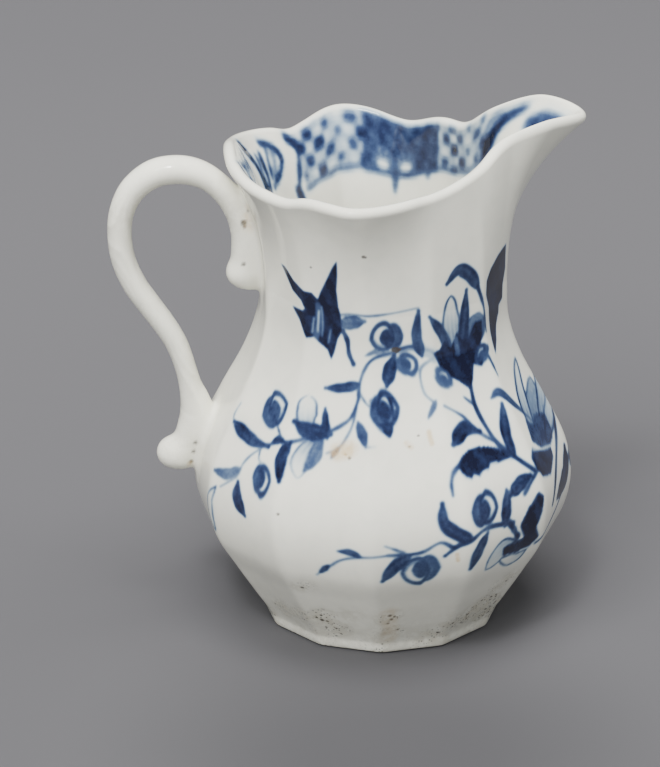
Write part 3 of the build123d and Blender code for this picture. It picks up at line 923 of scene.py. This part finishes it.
# ==== Materials ====
class Net:
    """Short forms for building one node material."""

    def __init__(self, name):
        self.material = bpy.data.materials.new(name)
        self.material.use_nodes = True
        self.tree = self.material.node_tree
        self.shader = self.tree.nodes["Principled BSDF"]
        self.place = self.tree.nodes.new("ShaderNodeTexCoord").outputs["Object"]

    def plug(self, socket, value):
        """Link a socket into another, or set it to a number or a colour."""
        if isinstance(value, bpy.types.NodeSocket):
            self.tree.links.new(value, socket)
        elif socket.type == "RGBA":
            socket.default_value = (*value, 1.0)
        else:
            socket.default_value = value

    def node(self, kind, values=None, **settings):
        """A node with its settings made and its inputs filled."""
        node = self.tree.nodes.new("ShaderNode" + kind)
        for key, value in settings.items():
            setattr(node, key, value)
        for key, value in (values or {}).items():
            self.plug(node.inputs[key], value)
        return node

    def from_place(self, centre):
        """Distance from a point."""
        return self.node("VectorMath", {0: self.place, 1: centre}, operation="DISTANCE").outputs["Value"]

    def noise(self, scale, detail=3.0, roughness=0.5):
        """Soft cloudy noise in the object's own space."""
        values = {"Vector": self.place, "Scale": scale, "Detail": detail, "Roughness": roughness}
        return self.node("TexNoise", values).outputs["Fac"]

    def cells(self, scale):
        """Distance to the nearest of scattered points, and a random number for each."""
        scattered = self.node("TexVoronoi", {"Vector": self.place, "Scale": scale})
        split = self.node("SeparateColor", {"Color": scattered.outputs["Color"]})
        return scattered.outputs["Distance"], split.outputs["Red"]

    def field(self, name):
        """A value stored on the mesh's points."""
        return self.node("Attribute", attribute_name=name).outputs["Fac"]

    def math(self, operation, first, second=0.0, clamp=False):
        """Arithmetic on values."""
        return self.node("Math", {0: first, 1: second}, operation=operation, use_clamp=clamp).outputs["Value"]

    def spread(self, value, low, high, to_low=0.0, to_high=1.0):
        """A value's range moved to another range, smoothly and clamped."""
        values = {"Value": value, "From Min": low, "From Max": high, "To Min": to_low, "To Max": to_high}
        return self.node("MapRange", values, interpolation_type="SMOOTHSTEP").outputs["Result"]

    def ramp(self, value, stops):
        """A colour read from stops."""
        node = self.node("ValToRGB", {"Fac": value})
        elements = node.color_ramp.elements
        while len(elements) < len(stops):
            elements.new(0.5)
        for element, (position, colour) in zip(elements, stops):
            element.position = position
            element.color = (*colour, 1.0)
        return node.outputs["Color"]

    def mix(self, factor, first, second, blend="MIX"):
        """Two colours mixed."""
        values = {"Factor": factor, "A": first, "B": second}
        return self.node("Mix", values, data_type="RGBA", blend_type=blend).outputs["Result"]

    def bump(self, height, strength, depth):
        """Fine relief on the surface."""
        values = {"Strength": strength, "Distance": depth, "Height": height}
        self.plug(self.shader.inputs["Normal"], self.node("Bump", values).outputs["Normal"])


COBALT_STOPS = [            # pigment, what it lets through
    (0.00, (1.0, 1.0, 1.0)),
    (0.10, (0.84, 0.89, 0.95)),
    (0.26, (0.45, 0.56, 0.72)),
    (0.44, (0.170, 0.250, 0.420)),
    (0.64, (0.052, 0.086, 0.205)),
    (0.84, (0.020, 0.031, 0.095)),
    (1.00, (0.009, 0.011, 0.034)),
]
GREY_CLOUD = (0.70, 0.705, 0.62)
GRIME_FILM = (0.36, 0.32, 0.21)
PIT_DARK = (0.045, 0.034, 0.024)
RUST = (0.66, 0.47, 0.22)
GLAZE_IOR = 1.5


def glaze_finish(name, tint):
    """Clear glossy glaze over white porcelain, over whatever cobalt is painted on it."""
    net = Net(name)
    cloud = net.noise(45.0, 2.0)
    body = net.mix(net.spread(cloud, 0.35, 0.65), tint, tuple(0.955 * part for part in tint))
    fine_cloud = net.noise(260.0, 3.0)
    body = net.mix(net.spread(fine_cloud, 0.4, 0.75, 0.0, 0.22), body, GREY_CLOUD)

    brush = net.noise(950.0, 4.0, 0.6)
    pool = net.noise(230.0, 3.0)
    paint = net.field("cobalt")
    streaked = net.spread(brush, 0.25, 0.75, 0.95, 1.07)
    grain = net.math("ADD", streaked, net.spread(pool, 0.3, 0.7, -0.07, 0.06))
    pigment = net.math("MULTIPLY", paint, grain, clamp=True)
    colour = net.mix(1.0, body, net.ramp(pigment, COBALT_STOPS), "MULTIPLY")

    grime = net.field("soil")
    mottle = net.noise(480.0, 5.0, 0.68)
    film = net.math("MULTIPLY", grime, net.spread(mottle, 0.38, 0.60), clamp=True)
    colour = net.mix(net.math("MULTIPLY", film, 0.52), colour, GRIME_FILM)
    patchy = net.spread(net.noise(210.0, 3.0), 0.42, 0.54)
    dirty = net.math("MULTIPLY", patchy, net.spread(grime, 0.2, 0.75))
    speck = net.field("pits")
    for scale, rarity in ((1000.0, 0.60), (1900.0, 0.45)):
        near, chance = net.cells(scale)
        dot = net.spread(near, 0.20, 0.42, 1.0, 0.0)
        sparse = net.math("MULTIPLY", dot, net.spread(chance, rarity, rarity + 0.1))
        speck = net.math("MAXIMUM", speck, net.math("MULTIPLY", sparse, dirty))
    colour = net.mix(net.math("MULTIPLY", speck, 0.88, clamp=True), colour, PIT_DARK)
    blot = net.math("MULTIPLY", net.field("stain"), net.spread(mottle, 0.30, 0.60, 0.35, 0.8), clamp=True)
    colour = net.mix(blot, colour, RUST)

    net.plug(net.shader.inputs["Base Color"], colour)
    gloss = net.spread(net.noise(70.0, 3.0), 0.3, 0.7, 0.05, 0.10)
    worn = net.math("MULTIPLY", net.math("ADD", film, speck), 0.40)
    net.plug(net.shader.inputs["Roughness"], net.math("ADD", gloss, worn, clamp=True))
    net.shader.inputs["IOR"].default_value = GLAZE_IOR
    ripple = net.math("MULTIPLY", net.noise(210.0, 2.0), 0.7)
    pitted = net.math("SUBTRACT", ripple, speck)
    net.bump(pitted, 0.22, 0.00012)
    return net.material


# the foot's colours are dirt and painted shade together: dark enough to read as the shadow line under the
# wall
BISCUIT_SOILED_AND_SHADED = ((0.40, 0.35, 0.27), (0.27, 0.23, 0.17))
BISCUIT_STAIN = (0.17, 0.13, 0.09)
GRIT = (0.07, 0.05, 0.035)


def biscuit_finish():
    """Unglazed, gritty and stained porcelain body where the foot was wiped clean for the kiln, darkened
    further with painted shade under the wall.
    """
    net = Net("unglazed_foot")
    cloud = net.noise(160.0, 4.0)
    colour = net.mix(net.spread(cloud, 0.35, 0.65), *BISCUIT_SOILED_AND_SHADED)
    dark = net.spread(net.noise(420.0, 5.0, 0.7), 0.52, 0.70, 0.0, 0.8)
    colour = net.mix(dark, colour, BISCUIT_STAIN)
    near, chance = net.cells(1800.0)
    grit = net.math("MULTIPLY", net.spread(near, 0.15, 0.35, 1.0, 0.0), net.spread(chance, 0.75, 0.8))
    colour = net.mix(grit, colour, GRIT)
    net.plug(net.shader.inputs["Base Color"], colour)
    net.plug(net.shader.inputs["Roughness"], net.spread(cloud, 0.3, 0.7, 0.72, 0.92))
    net.bump(net.math("ADD", net.noise(1500.0, 3.0), grit), 0.35, 0.00015)
    return net.material


FLOOR_GREYS = ((0.121, 0.120, 0.128), (0.126, 0.125, 0.133))
FLOOR_SHADE_TOWARDS = (-0.01, -1.05, 0.0)      # painted shade: the floor darkens towards this place, by the camera
FLOOR_SHADE_CENTRE = (-0.002, -0.064, 0.0)    # and round this one, painted shade at the jug's front
FLOOR_PAINTED_SHADE_DARKEST = 0.70


def floor_material():
    """A plain matt sweep with painted shade: a little darker towards the camera and close in front of the
    jug.
    """
    net = Net("floor")
    colour = net.mix(net.noise(6.0, 2.0), *FLOOR_GREYS)
    # painted shade on the floor: darker towards the camera and round the jug's front
    falloff_shade = net.spread(net.from_place(FLOOR_SHADE_TOWARDS), 0.85, 1.35, FLOOR_PAINTED_SHADE_DARKEST, 1.0)
    front_shade = net.spread(net.from_place(FLOOR_SHADE_CENTRE), 0.012, 0.066, FLOOR_PAINTED_SHADE_DARKEST, 1.0)
    shade = net.math("MULTIPLY", falloff_shade, front_shade)
    net.plug(net.shader.inputs["Base Color"], net.mix(shade, (0.0, 0.0, 0.0), colour))
    net.shader.inputs["Roughness"].default_value = 0.85
    net.shader.inputs["Specular IOR Level"].default_value = 0.2
    return net.material


wall_glaze = glaze_finish("wall_glaze", (0.90, 0.893, 0.785))
# painted light: the handle gets the wall's glaze in a lighter tint, for the extra light that falls on it
handle_glaze_with_painted_light = glaze_finish("handle_glaze_with_painted_light", (0.95, 0.94, 0.82))
base_glaze = glaze_finish("base_glaze", (0.87, 0.865, 0.78))
foot_biscuit = biscuit_finish()


# ==== The wall's two halves ====
def seam_rows(block, foot):
    """Outside and inside edges of the wall's section at one column, row against row up to the rim."""
    over_rim = np.arange(RIM_ROWS // 2)
    outer = np.concatenate([[0, behind_inside[-1] // 2], behind_inside[::-1], OUTSIDE + over_rim])
    first_inside = OUTSIDE + RIM_ROWS
    inside = first_inside + np.arange(len(behind_inside))[::-1]
    inner = np.concatenate([[len(block) - 1], inside, first_inside - 1 - over_rim])
    return np.stack([block[outer], np.concatenate([foot[None], block[inner]])])


def build_body_half(name, node, first, material, layers):
    """One half of the wall from its first column, closed by flat faces at the seams and foot."""
    last = first + COLUMNS // 2
    block = wall[:, first:last + 1]
    normals = grid_normals(wall)[:, first:last + 1]
    rows, columns = block.shape[:2]
    turn = angles[first:last + 1]
    ring = (FOOT_RADIUS + FOOT_CLEARANCE) * facet_factor(turn, 0.0)
    skirt = around(turn, ring, WALL_BOTTOM)
    recess = around(turn, ring, FOOT_HEIGHT)
    inner_foot = around(turn, BASE_RADIUS, FOOT_HEIGHT)
    across = np.array([0.0, -1.0 if first == 0 else 1.0, 0.0])
    down = np.array([0.0, 0.0, -1.0])
    caps = [seam_rows(block[:, column], inner_foot[column]) for column in (0, columns - 1)]
    strips = [
        (np.stack([block[-1], inner_foot]), None),
        (np.stack([inner_foot, recess]), down),
        (np.stack([recess, skirt]), None),
        (np.stack([skirt, block[0]]), down),
        (caps[0][::-1], across),
        (caps[1], across),
    ]

    points = [block.reshape(-1, 3)]
    directions = [normals.reshape(-1, 3)]
    faces = [grid_faces(rows, columns)]
    values = {key: [field[:, first:last + 1].ravel()] for key, field in layers.items()}
    count = rows * columns
    for strip, direction in strips:
        long = strip.shape[1]
        points.append(strip.reshape(-1, 3))
        way = grid_normals(strip) if direction is None else np.broadcast_to(direction, strip.shape)
        directions.append(way.reshape(-1, 3))
        faces.append(grid_faces(2, long, count))
        for key in values:
            values[key].append(np.zeros(2 * long))
        count += 2 * long

    piece = make_mesh(
        name,
        np.concatenate(points),
        np.concatenate(faces),
        np.concatenate(directions),
        {key: np.concatenate(parts) for key, parts in values.items()},
    )
    stands_for(piece, material, node)


# ==== Handle with its slip joints, as a smooth blended surface ====
STRAP = [                   # x, z, thickness in the plane of the loop, width across it
    (-26.9, 71.6, 3.8, 5),
    (-27.1, 73.6, 5.2, 6.4),
    (-27.2, 76.6, 5.4, 6.6),
    (-27.2, 80.5, 5.4, 6.8),
    (-28.1, 84.6, 5.4, 6.8),
    (-30.4, 88.6, 5, 6.6),
    (-33.6, 91.9, 5, 6.4),
    (-37.2, 93.7, 5.4, 6.4),
    (-41.2, 94.1, 5.6, 6.4),
    (-45.3, 93.1, 5.5, 6.4),
    (-49.1, 89.9, 5.2, 6.4),
    (-51.2, 85.4, 4.9, 6.4),
    (-51.7, 80.6, 4.8, 6.4),
    (-51, 75.4, 4.8, 6.4),
    (-49, 70.4, 4.8, 6.4),
    (-46.3, 66.2, 4.7, 6.3),
    (-43.5, 62.1, 4.6, 6.2),
    (-41, 57.7, 4.4, 6),
    (-39.3, 52.6, 4.2, 6),
    (-38.4, 47.5, 4.2, 6),
    (-38.2, 42.8, 4.6, 6.2),
    (-38.6, 38.9, 5.4, 6.4),
    (-39.4, 35.6, 5.6, 6.4),
    (-39.8, 33.4, 5.2, 6),
]
KNOBS = [                   # x, z, radius in the plane of the loop, radius across it
    (-28.2, 72.6, 2.7, 3.2),
    (-42.1, 34.1, 3.2, 3.4),
]
SLIPS = [                   # x, z, half thickness, half width, half height of the slip behind the strap
    (-25.4, 79.6, 2.4, 3.2, 9.6),
    (-35.9, 39.4, 2.2, 3, 8),
]
KNOB_BLEND = 2.8
STRAP_STEPS = 12            # fine stations between two named ones
GRID_STEP = 0.4             # spacing of the grid that the blended surface is found on
FILLET = 2.9                # how far the slip spreads between strap and wall
HANDLE_BOX = ((-56.0, -7.6, 28.0), (-22.0, 7.6, 99.0))
BETWEEN_JOINTS = 60.0       # height between the two joints
JOINT_LEVELS = (36.0, 86.0) # heights at the joints where grime gathers
SMALL_STEP = 0.02           # for slopes of the blended surface


def strap_line():
    """Fine stations down the strap: place, half thickness and half width."""
    x, z, thick, wide = fine_columns(STRAP, STRAP_STEPS)
    return x, z, thick / 2, wide / 2


def oval_distance(points, centre, radii):
    """Roughly the signed distance outside an egg shape, true to scale along its first axis."""
    return (np.linalg.norm((points - np.array(centre)) / np.array(radii), axis=-1) - 1.0) * radii[0]


def smooth_union(first, second, spread):
    """The smaller of two distances, rounded where they are nearly equal."""
    overlap = np.maximum(spread - np.abs(first - second), 0.0) / spread
    return np.minimum(first, second) - overlap**3 * spread / 6.0


def strap_distance(points):
    """Roughly the signed distance outside the strap's oval sections and its two knobs."""
    x, z, half_thick, half_wide = strap_line()
    line = np.stack([x, z], axis=-1)
    tangent = np.gradient(line, axis=0)
    tangent /= np.linalg.norm(tangent, axis=1, keepdims=True)
    best = np.full(points.shape[:-1], FAR_AWAY)
    for (at_x, at_z), (way_x, way_z), thick, wide in zip(line, tangent, half_thick, half_wide):
        dx = points[..., 0] - at_x
        dz = points[..., 2] - at_z
        along = dx * way_x + dz * way_z
        across = dx * way_z - dz * way_x
        size = min(thick, wide)
        reach = np.sqrt((across / thick) ** 2 + (points[..., 1] / wide) ** 2 + (along / size) ** 2)
        best = np.minimum(best, (reach - 1.0) * size)
    for knob_x, knob_z, in_loop, wide in KNOBS:
        knob = oval_distance(points, (knob_x, 0.0, knob_z), (in_loop, wide, in_loop))
        best = smooth_union(best, knob, KNOB_BLEND)
    return best


def slip_distance(points):
    """Roughly the signed distance outside the slip packed between strap and wall."""
    ovals = [oval_distance(points, (x, 0.0, z), radii) for x, z, *radii in SLIPS]
    return np.minimum(*ovals)


def wall_distance(points):
    """Roughly the signed distance outside the wall, near the handle."""
    radius = np.hypot(points[..., 0], points[..., 1])
    angle = np.degrees(np.arctan2(points[..., 1], points[..., 0])) % 360.0
    levels = wall_height[:OUTSIDE:4, ::10]
    radii = wall_radius[:OUTSIDE:4, ::10]
    column = angle / 360.0 * (levels.shape[1] - 1)
    low = np.clip(np.floor(column).astype(int), 0, levels.shape[1] - 2)
    share = column - low
    distance = np.zeros(radius.shape)
    for first in np.unique(low):
        here = low == first
        height = points[..., 2][here]
        level, next_level = levels[:, first], levels[:, first + 1]
        near = np.interp(height, level, radii[:, first])
        far = np.interp(height, next_level, radii[:, first + 1])
        lean = np.interp(height, level, np.gradient(radii[:, first], level))
        wall_here = near + (far - near) * share[here]
        distance[here] = (radius[here] - wall_here) / np.sqrt(1.0 + lean**2)
    return distance


def blended(points):
    """Distance outside strap, slip and wall joined with a round fillet, and outside strap and wall."""
    strap = strap_distance(points)
    clay = smooth_union(strap, slip_distance(points), KNOB_BLEND)
    wall_gap = wall_distance(points)
    return smooth_union(clay, wall_gap, FILLET), strap, wall_gap


def surface_net(field, origin, step):
    """Quads on the zero level of a field on a regular grid, one vertex in each crossed cell."""
    inside = field < 0
    crossed = np.zeros(tuple(n - 1 for n in field.shape), bool)
    total = np.zeros(crossed.shape + (3,))
    count = np.zeros(crossed.shape)
    corners = [(i, j, k) for i in (0, 1) for j in (0, 1) for k in (0, 1)]

    def block(array, corner):
        """The array as seen from one corner of every cell."""
        return array[tuple(slice(c, array.shape[i] - 1 + c) for i, c in enumerate(corner))]

    for a in corners:
        for b in corners:
            if sum(b) - sum(a) != 1 or any(y < x for x, y in zip(a, b)):
                continue
            fa, fb = block(field, a), block(field, b)
            cut = block(inside, a) != block(inside, b)
            t = np.where(cut, fa / np.where(cut, fa - fb, 1.0), 0.0)
            place = np.array(a) + t[..., None] * (np.array(b) - np.array(a))
            total += np.where(cut[..., None], place, 0.0)
            count += cut
            crossed |= cut
    number = np.full(crossed.shape, -1)
    number[crossed] = np.arange(crossed.sum())
    cells = np.argwhere(crossed)
    vertices = origin + step * (cells + total[crossed] / count[crossed][:, None])
    quads = []
    for axis in range(3):
        u, v = [k for k in range(3) if k != axis]
        start = inside[tuple(slice(None, -1) if k == axis else slice(1, -1) for k in range(3))]
        end = inside[tuple(slice(1, None) if k == axis else slice(1, -1) for k in range(3))]
        for flip, pick in ((False, start & ~end), (True, ~start & end)):
            spots = np.argwhere(pick)
            spots[:, u] += 1
            spots[:, v] += 1
            ring = []
            for du, dv in ((-1, -1), (0, -1), (0, 0), (-1, 0)):
                cell = spots.copy()
                cell[:, u] += du
                cell[:, v] += dv
                ring.append(number[cell[:, 0], cell[:, 1], cell[:, 2]])
            quad = np.stack(ring, axis=-1)
            if flip != (axis == 1):
                quad = quad[:, ::-1]
            quads.append(quad)
    return vertices, np.concatenate(quads)


HANDLE_PITS = [             # x, y, z, width of dark specks
    (-27.4, -3.4, 84.2, 0.9),
    (-27.3, -3.4, 83.4, 0.5),
    (-26.3, -3, 86.6, 0.7),
    (-26.5, -3.3, 79.2, 0.35),
    (-27.5, -3.4, 75.5, 0.45),
    (-37.5, -3.4, 37.4, 0.5),
    (-37.9, -3.3, 35.4, 0.55),
    (-38.4, -3.1, 33, 0.8),
    (-50, 3, 88, 0.5),
    (-38.5, 3.4, 40.2, 0.7),
]
HANDLE_STAINS = [           # x, y, z, width of brown tinges along the fire cracks
    (-26.4, -3, 85.2, 3),
    (-26.5, -3, 83.2, 3),
    (-26.2, -3, 87.2, 1.8),
    (-38.6, -2.8, 32.6, 1.6),
    (-27.6, 3, 84, 3),
]


def handle_marks(vertices):
    """Pits, tinges and a little grime on the handle and its joints."""
    pitted = np.zeros(len(vertices))
    tinged = np.zeros(len(vertices))
    for *place, width in HANDLE_PITS:
        away = np.linalg.norm(vertices - place, axis=1)
        pitted = np.maximum(pitted, smooth_step((width / 2 + 0.35 - away) / 0.35))
    for *place, width in HANDLE_STAINS:
        away = np.linalg.norm(vertices - place, axis=1)
        tinged = np.maximum(tinged, 0.55 * smooth_step(1.2 - 1.2 * away / (width / 2 + 0.5)))
    joints = sum(np.exp(-((vertices[:, 2] - level) / 4.0) ** 2) for level in JOINT_LEVELS)
    return {"pits": pitted, "stain": tinged, "soil": 0.30 * joints * (np.abs(vertices[:, 1]) > 1.5)}


def drawn_to_surface(vertices):
    """The net's points moved on to the blended surface, with their normals."""
    for _ in range(2):
        value = blended(vertices)[0]
        ahead = [blended(vertices + SMALL_STEP * axis)[0] for axis in np.eye(3)]
        slope = np.stack([(level - value) / SMALL_STEP for level in ahead], axis=-1)
        vertices = vertices - value[:, None] * slope / np.maximum((slope**2).sum(1), 0.25)[:, None]
    return vertices, slope / np.linalg.norm(slope, axis=1, keepdims=True)


def build_handle(material):
    """The handle and the two slip joints, cut from one blended surface so that they meet."""
    low, high = np.array(HANDLE_BOX)
    size = np.ceil((high - low) / GRID_STEP).astype(int)
    axes = [low[k] + GRID_STEP * np.arange(size[k]) for k in range(3)]
    grid = np.stack(np.meshgrid(*axes, indexing="ij"), axis=-1)
    vertices, quads = surface_net(blended(grid)[0], low, GRID_STEP)
    vertices, normals = drawn_to_surface(vertices)
    strap_here, wall_here = blended(vertices)[1:]
    shown = (wall_here > 0.03) & (strap_here < 2.0 * FILLET)
    quads = quads[shown[quads].any(axis=1)]
    is_slip = (strap_here > 0.04)[quads].sum(axis=1) >= 2
    is_upper = vertices[quads].mean(axis=1)[:, 2] > BETWEEN_JOINTS
    marks = handle_marks(vertices)
    for name, node, slot, chosen in (
        ("handle", "handle", "porcelain_handle", ~is_slip),
        ("upper_slip", "upper_luting", "luting_slip", is_slip & is_upper),
        ("lower_slip", "lower_luting", "luting_slip", is_slip & ~is_upper),
    ):
        used, new = np.unique(quads[chosen], return_inverse=True)
        fields = {key: values[used] for key, values in marks.items()}
        piece = make_mesh(name, vertices[used], new.reshape(-1, 4), normals[used], fields)
        stands_for(piece, material, node)


# ==== Base and foot ====
ROUND = 360                 # columns round the base and the foot
BASE_RINGS = 46
BASE_DISH = 0.55            # how far the underside is hollowed
BASE_SAG = 0.21             # how far the middle of the inside floor lies below its edge
BASE_WAVE = 0.04            # the turner's faint rings
BASE_DROP = 0.02            # keeps the inside floor just under the CAD's
FOOT_LIP = 0.35             # how far the foot's lower edges are worn round

round_angles = np.arange(ROUND + 1) * 360.0 / ROUND


def build_base():
    """A disc with a softly hollowed underside and a floor that dips in the middle."""
    low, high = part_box("base_disc")
    bottom, top, reach = low[2] / MM, high[2] / MM, high[0] / MM
    share = np.linspace(0.0, 1.0, BASE_RINGS)
    wave = BASE_WAVE * np.sin(40.0 * share) * (1.0 - share)
    under = bottom + BASE_DISH * (1.0 - share**2) + wave
    over = top - BASE_DROP - BASE_SAG * (1.0 - share**2) ** 2 - 0.8 * wave
    radius = np.maximum(np.concatenate([share, [1.0], share[::-1]]) * reach, 0.02)
    height = np.concatenate([under, [(bottom + top) / 2], over[::-1]])
    whole = (len(radius), ROUND + 1)
    turn, radius = np.broadcast_to(round_angles, whole), np.broadcast_to(radius[:, None], whole)
    points = around(turn, radius, height[:, None])
    piece = make_mesh("base_floor", points.reshape(-1, 3), grid_faces(*whole))
    stands_for(piece, base_glaze, "base_disc")


def build_foot():
    """The unglazed ring that the jug stands on, twelve-sided outside and round inside."""
    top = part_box("foot_ring")[1][2] / MM
    outer = FOOT_RADIUS * facet_factor(round_angles, 0.0)
    inner = np.full(round_angles.shape, FOOT_BORE_RADIUS)
    section = [             # edge, how far in from it, and height
        (outer, 0.0, top),
        (outer, 0.0, 0.55 * top),
        (outer, 0.10, 0.22 * top),
        (outer, FOOT_LIP, 0.0),
        (outer, FOOT_LIP + 0.9, 0.0),
        (inner, -FOOT_LIP - 0.6, 0.0),
        (inner, -FOOT_LIP, 0.0),
        (inner, -0.10, 0.22 * top),
        (inner, 0.0, 0.55 * top),
        (inner, 0.0, top),
        (outer, 0.0, top),
    ]
    points = np.stack([around(round_angles, edge - inset, level) for edge, inset, level in section])
    piece = make_mesh("foot", points.reshape(-1, 3), grid_faces(*points.shape[:2]))
    stands_for(piece, foot_biscuit, "foot_ring")


build_body_half("body_left", "body_left_half", 0, wall_glaze, layers)
build_body_half("body_right", "body_right_half", COLUMNS // 2, wall_glaze, layers)
build_handle(handle_glaze_with_painted_light)
build_base()
build_foot()


# ==== Camera, floor and light ====
CAMERA_AZIMUTH = -2.5
CAMERA_ELEVATION = 23.0
CAMERA_DISTANCE = 0.700
AIM_SIDEWAYS = -0.01045     # the aim is a little to the handle's side of the jug's axis
AIM_HEIGHT = 0.0482
SENSOR_WIDTH = 36.0         # millimetres, as the lens below
LENS_LENGTH = 190.909
NEAREST_SEEN = 0.05


def add_camera():
    """The camera at the photograph's viewing angle."""
    turn = math.radians(CAMERA_AZIMUTH)
    lift = math.radians(CAMERA_ELEVATION)
    right = np.array([math.cos(turn), math.sin(turn), 0.0])
    ahead = np.array([-math.sin(turn), math.cos(turn), 0.0])
    forward = math.cos(lift) * ahead - np.array([0.0, 0.0, math.sin(lift)])
    aim = AIM_SIDEWAYS * right + np.array([0.0, 0.0, AIM_HEIGHT])
    data = bpy.data.cameras.new("camera")
    camera = bpy.data.objects.new("camera", data)
    bpy.context.scene.collection.objects.link(camera)
    camera.location = aim - CAMERA_DISTANCE * forward
    camera.rotation_euler = (math.pi / 2 - lift, 0.0, turn)
    data.sensor_fit = "HORIZONTAL"
    data.sensor_width = SENSOR_WIDTH
    data.lens = LENS_LENGTH
    data.clip_start = NEAREST_SEEN
    bpy.context.scene.camera = camera


SOFT_BOXES = [              # name, place, width, power, colour, whether the glaze mirrors it
    ("key", (-0.85, -1.35, 1.90), 1.5, 76.0, (1.0, 0.99, 0.97), False),
    ("overhead", (0.05, -0.35, 2.45), 1.5, 86.0, (1.0, 0.99, 0.975), False),
    ("front", (-0.2, -2.25, 0.80), 1.2, 19.0, (0.98, 0.99, 1.0), False),
    ("side", (1.70, 0.20, 0.95), 1.4, 13.0, (0.98, 0.99, 1.0), False),
    ("glint", (-0.45, -1.10, 1.70), 0.28, 15.0, (1.0, 1.0, 1.0), True),
]
LIGHTS_AIM = (0.0, 0.0, 0.05)
DOME_COLOUR = (0.95, 0.97, 1.0, 1.0)
DOME_STRENGTH = 0.10
FLOOR_REACH = 3.0


def add_soft_box(name, location, size, power, colour, mirrored):
    """A square soft light aimed at the jug."""
    data = bpy.data.lights.new(name, "AREA")
    data.shape = "SQUARE"
    data.size = size
    data.energy = power
    data.color = colour
    light = bpy.data.objects.new(name, data)
    light.location = location
    light.visible_glossy = mirrored
    aim = Vector(LIGHTS_AIM) - Vector(location)
    light.rotation_euler = aim.to_track_quat("-Z", "Y").to_euler()
    bpy.context.scene.collection.objects.link(light)


def add_floor():
    """A wide flat sweep for the jug to stand on."""
    corners = [(FLOOR_REACH * x, FLOOR_REACH * y, 0.0) for x, y in ((-1, -1), (1, -1), (1, 1), (-1, 1))]
    mesh = bpy.data.meshes.new("floor")
    mesh.from_pydata(corners, [], [(0, 1, 2, 3)])
    mesh.materials.append(floor_material())
    floor = bpy.data.objects.new("floor", mesh)
    bpy.context.scene.collection.objects.link(floor)


def add_dome():
    """A dim grey room for the light that comes back from its walls."""
    world = bpy.data.worlds.new("studio")
    bpy.context.scene.world = world
    world.use_nodes = True
    background = world.node_tree.nodes["Background"]
    background.inputs["Color"].default_value = DOME_COLOUR
    background.inputs["Strength"].default_value = DOME_STRENGTH


add_camera()
add_floor()
add_dome()
for soft_box in SOFT_BOXES:
    add_soft_box(*soft_box)
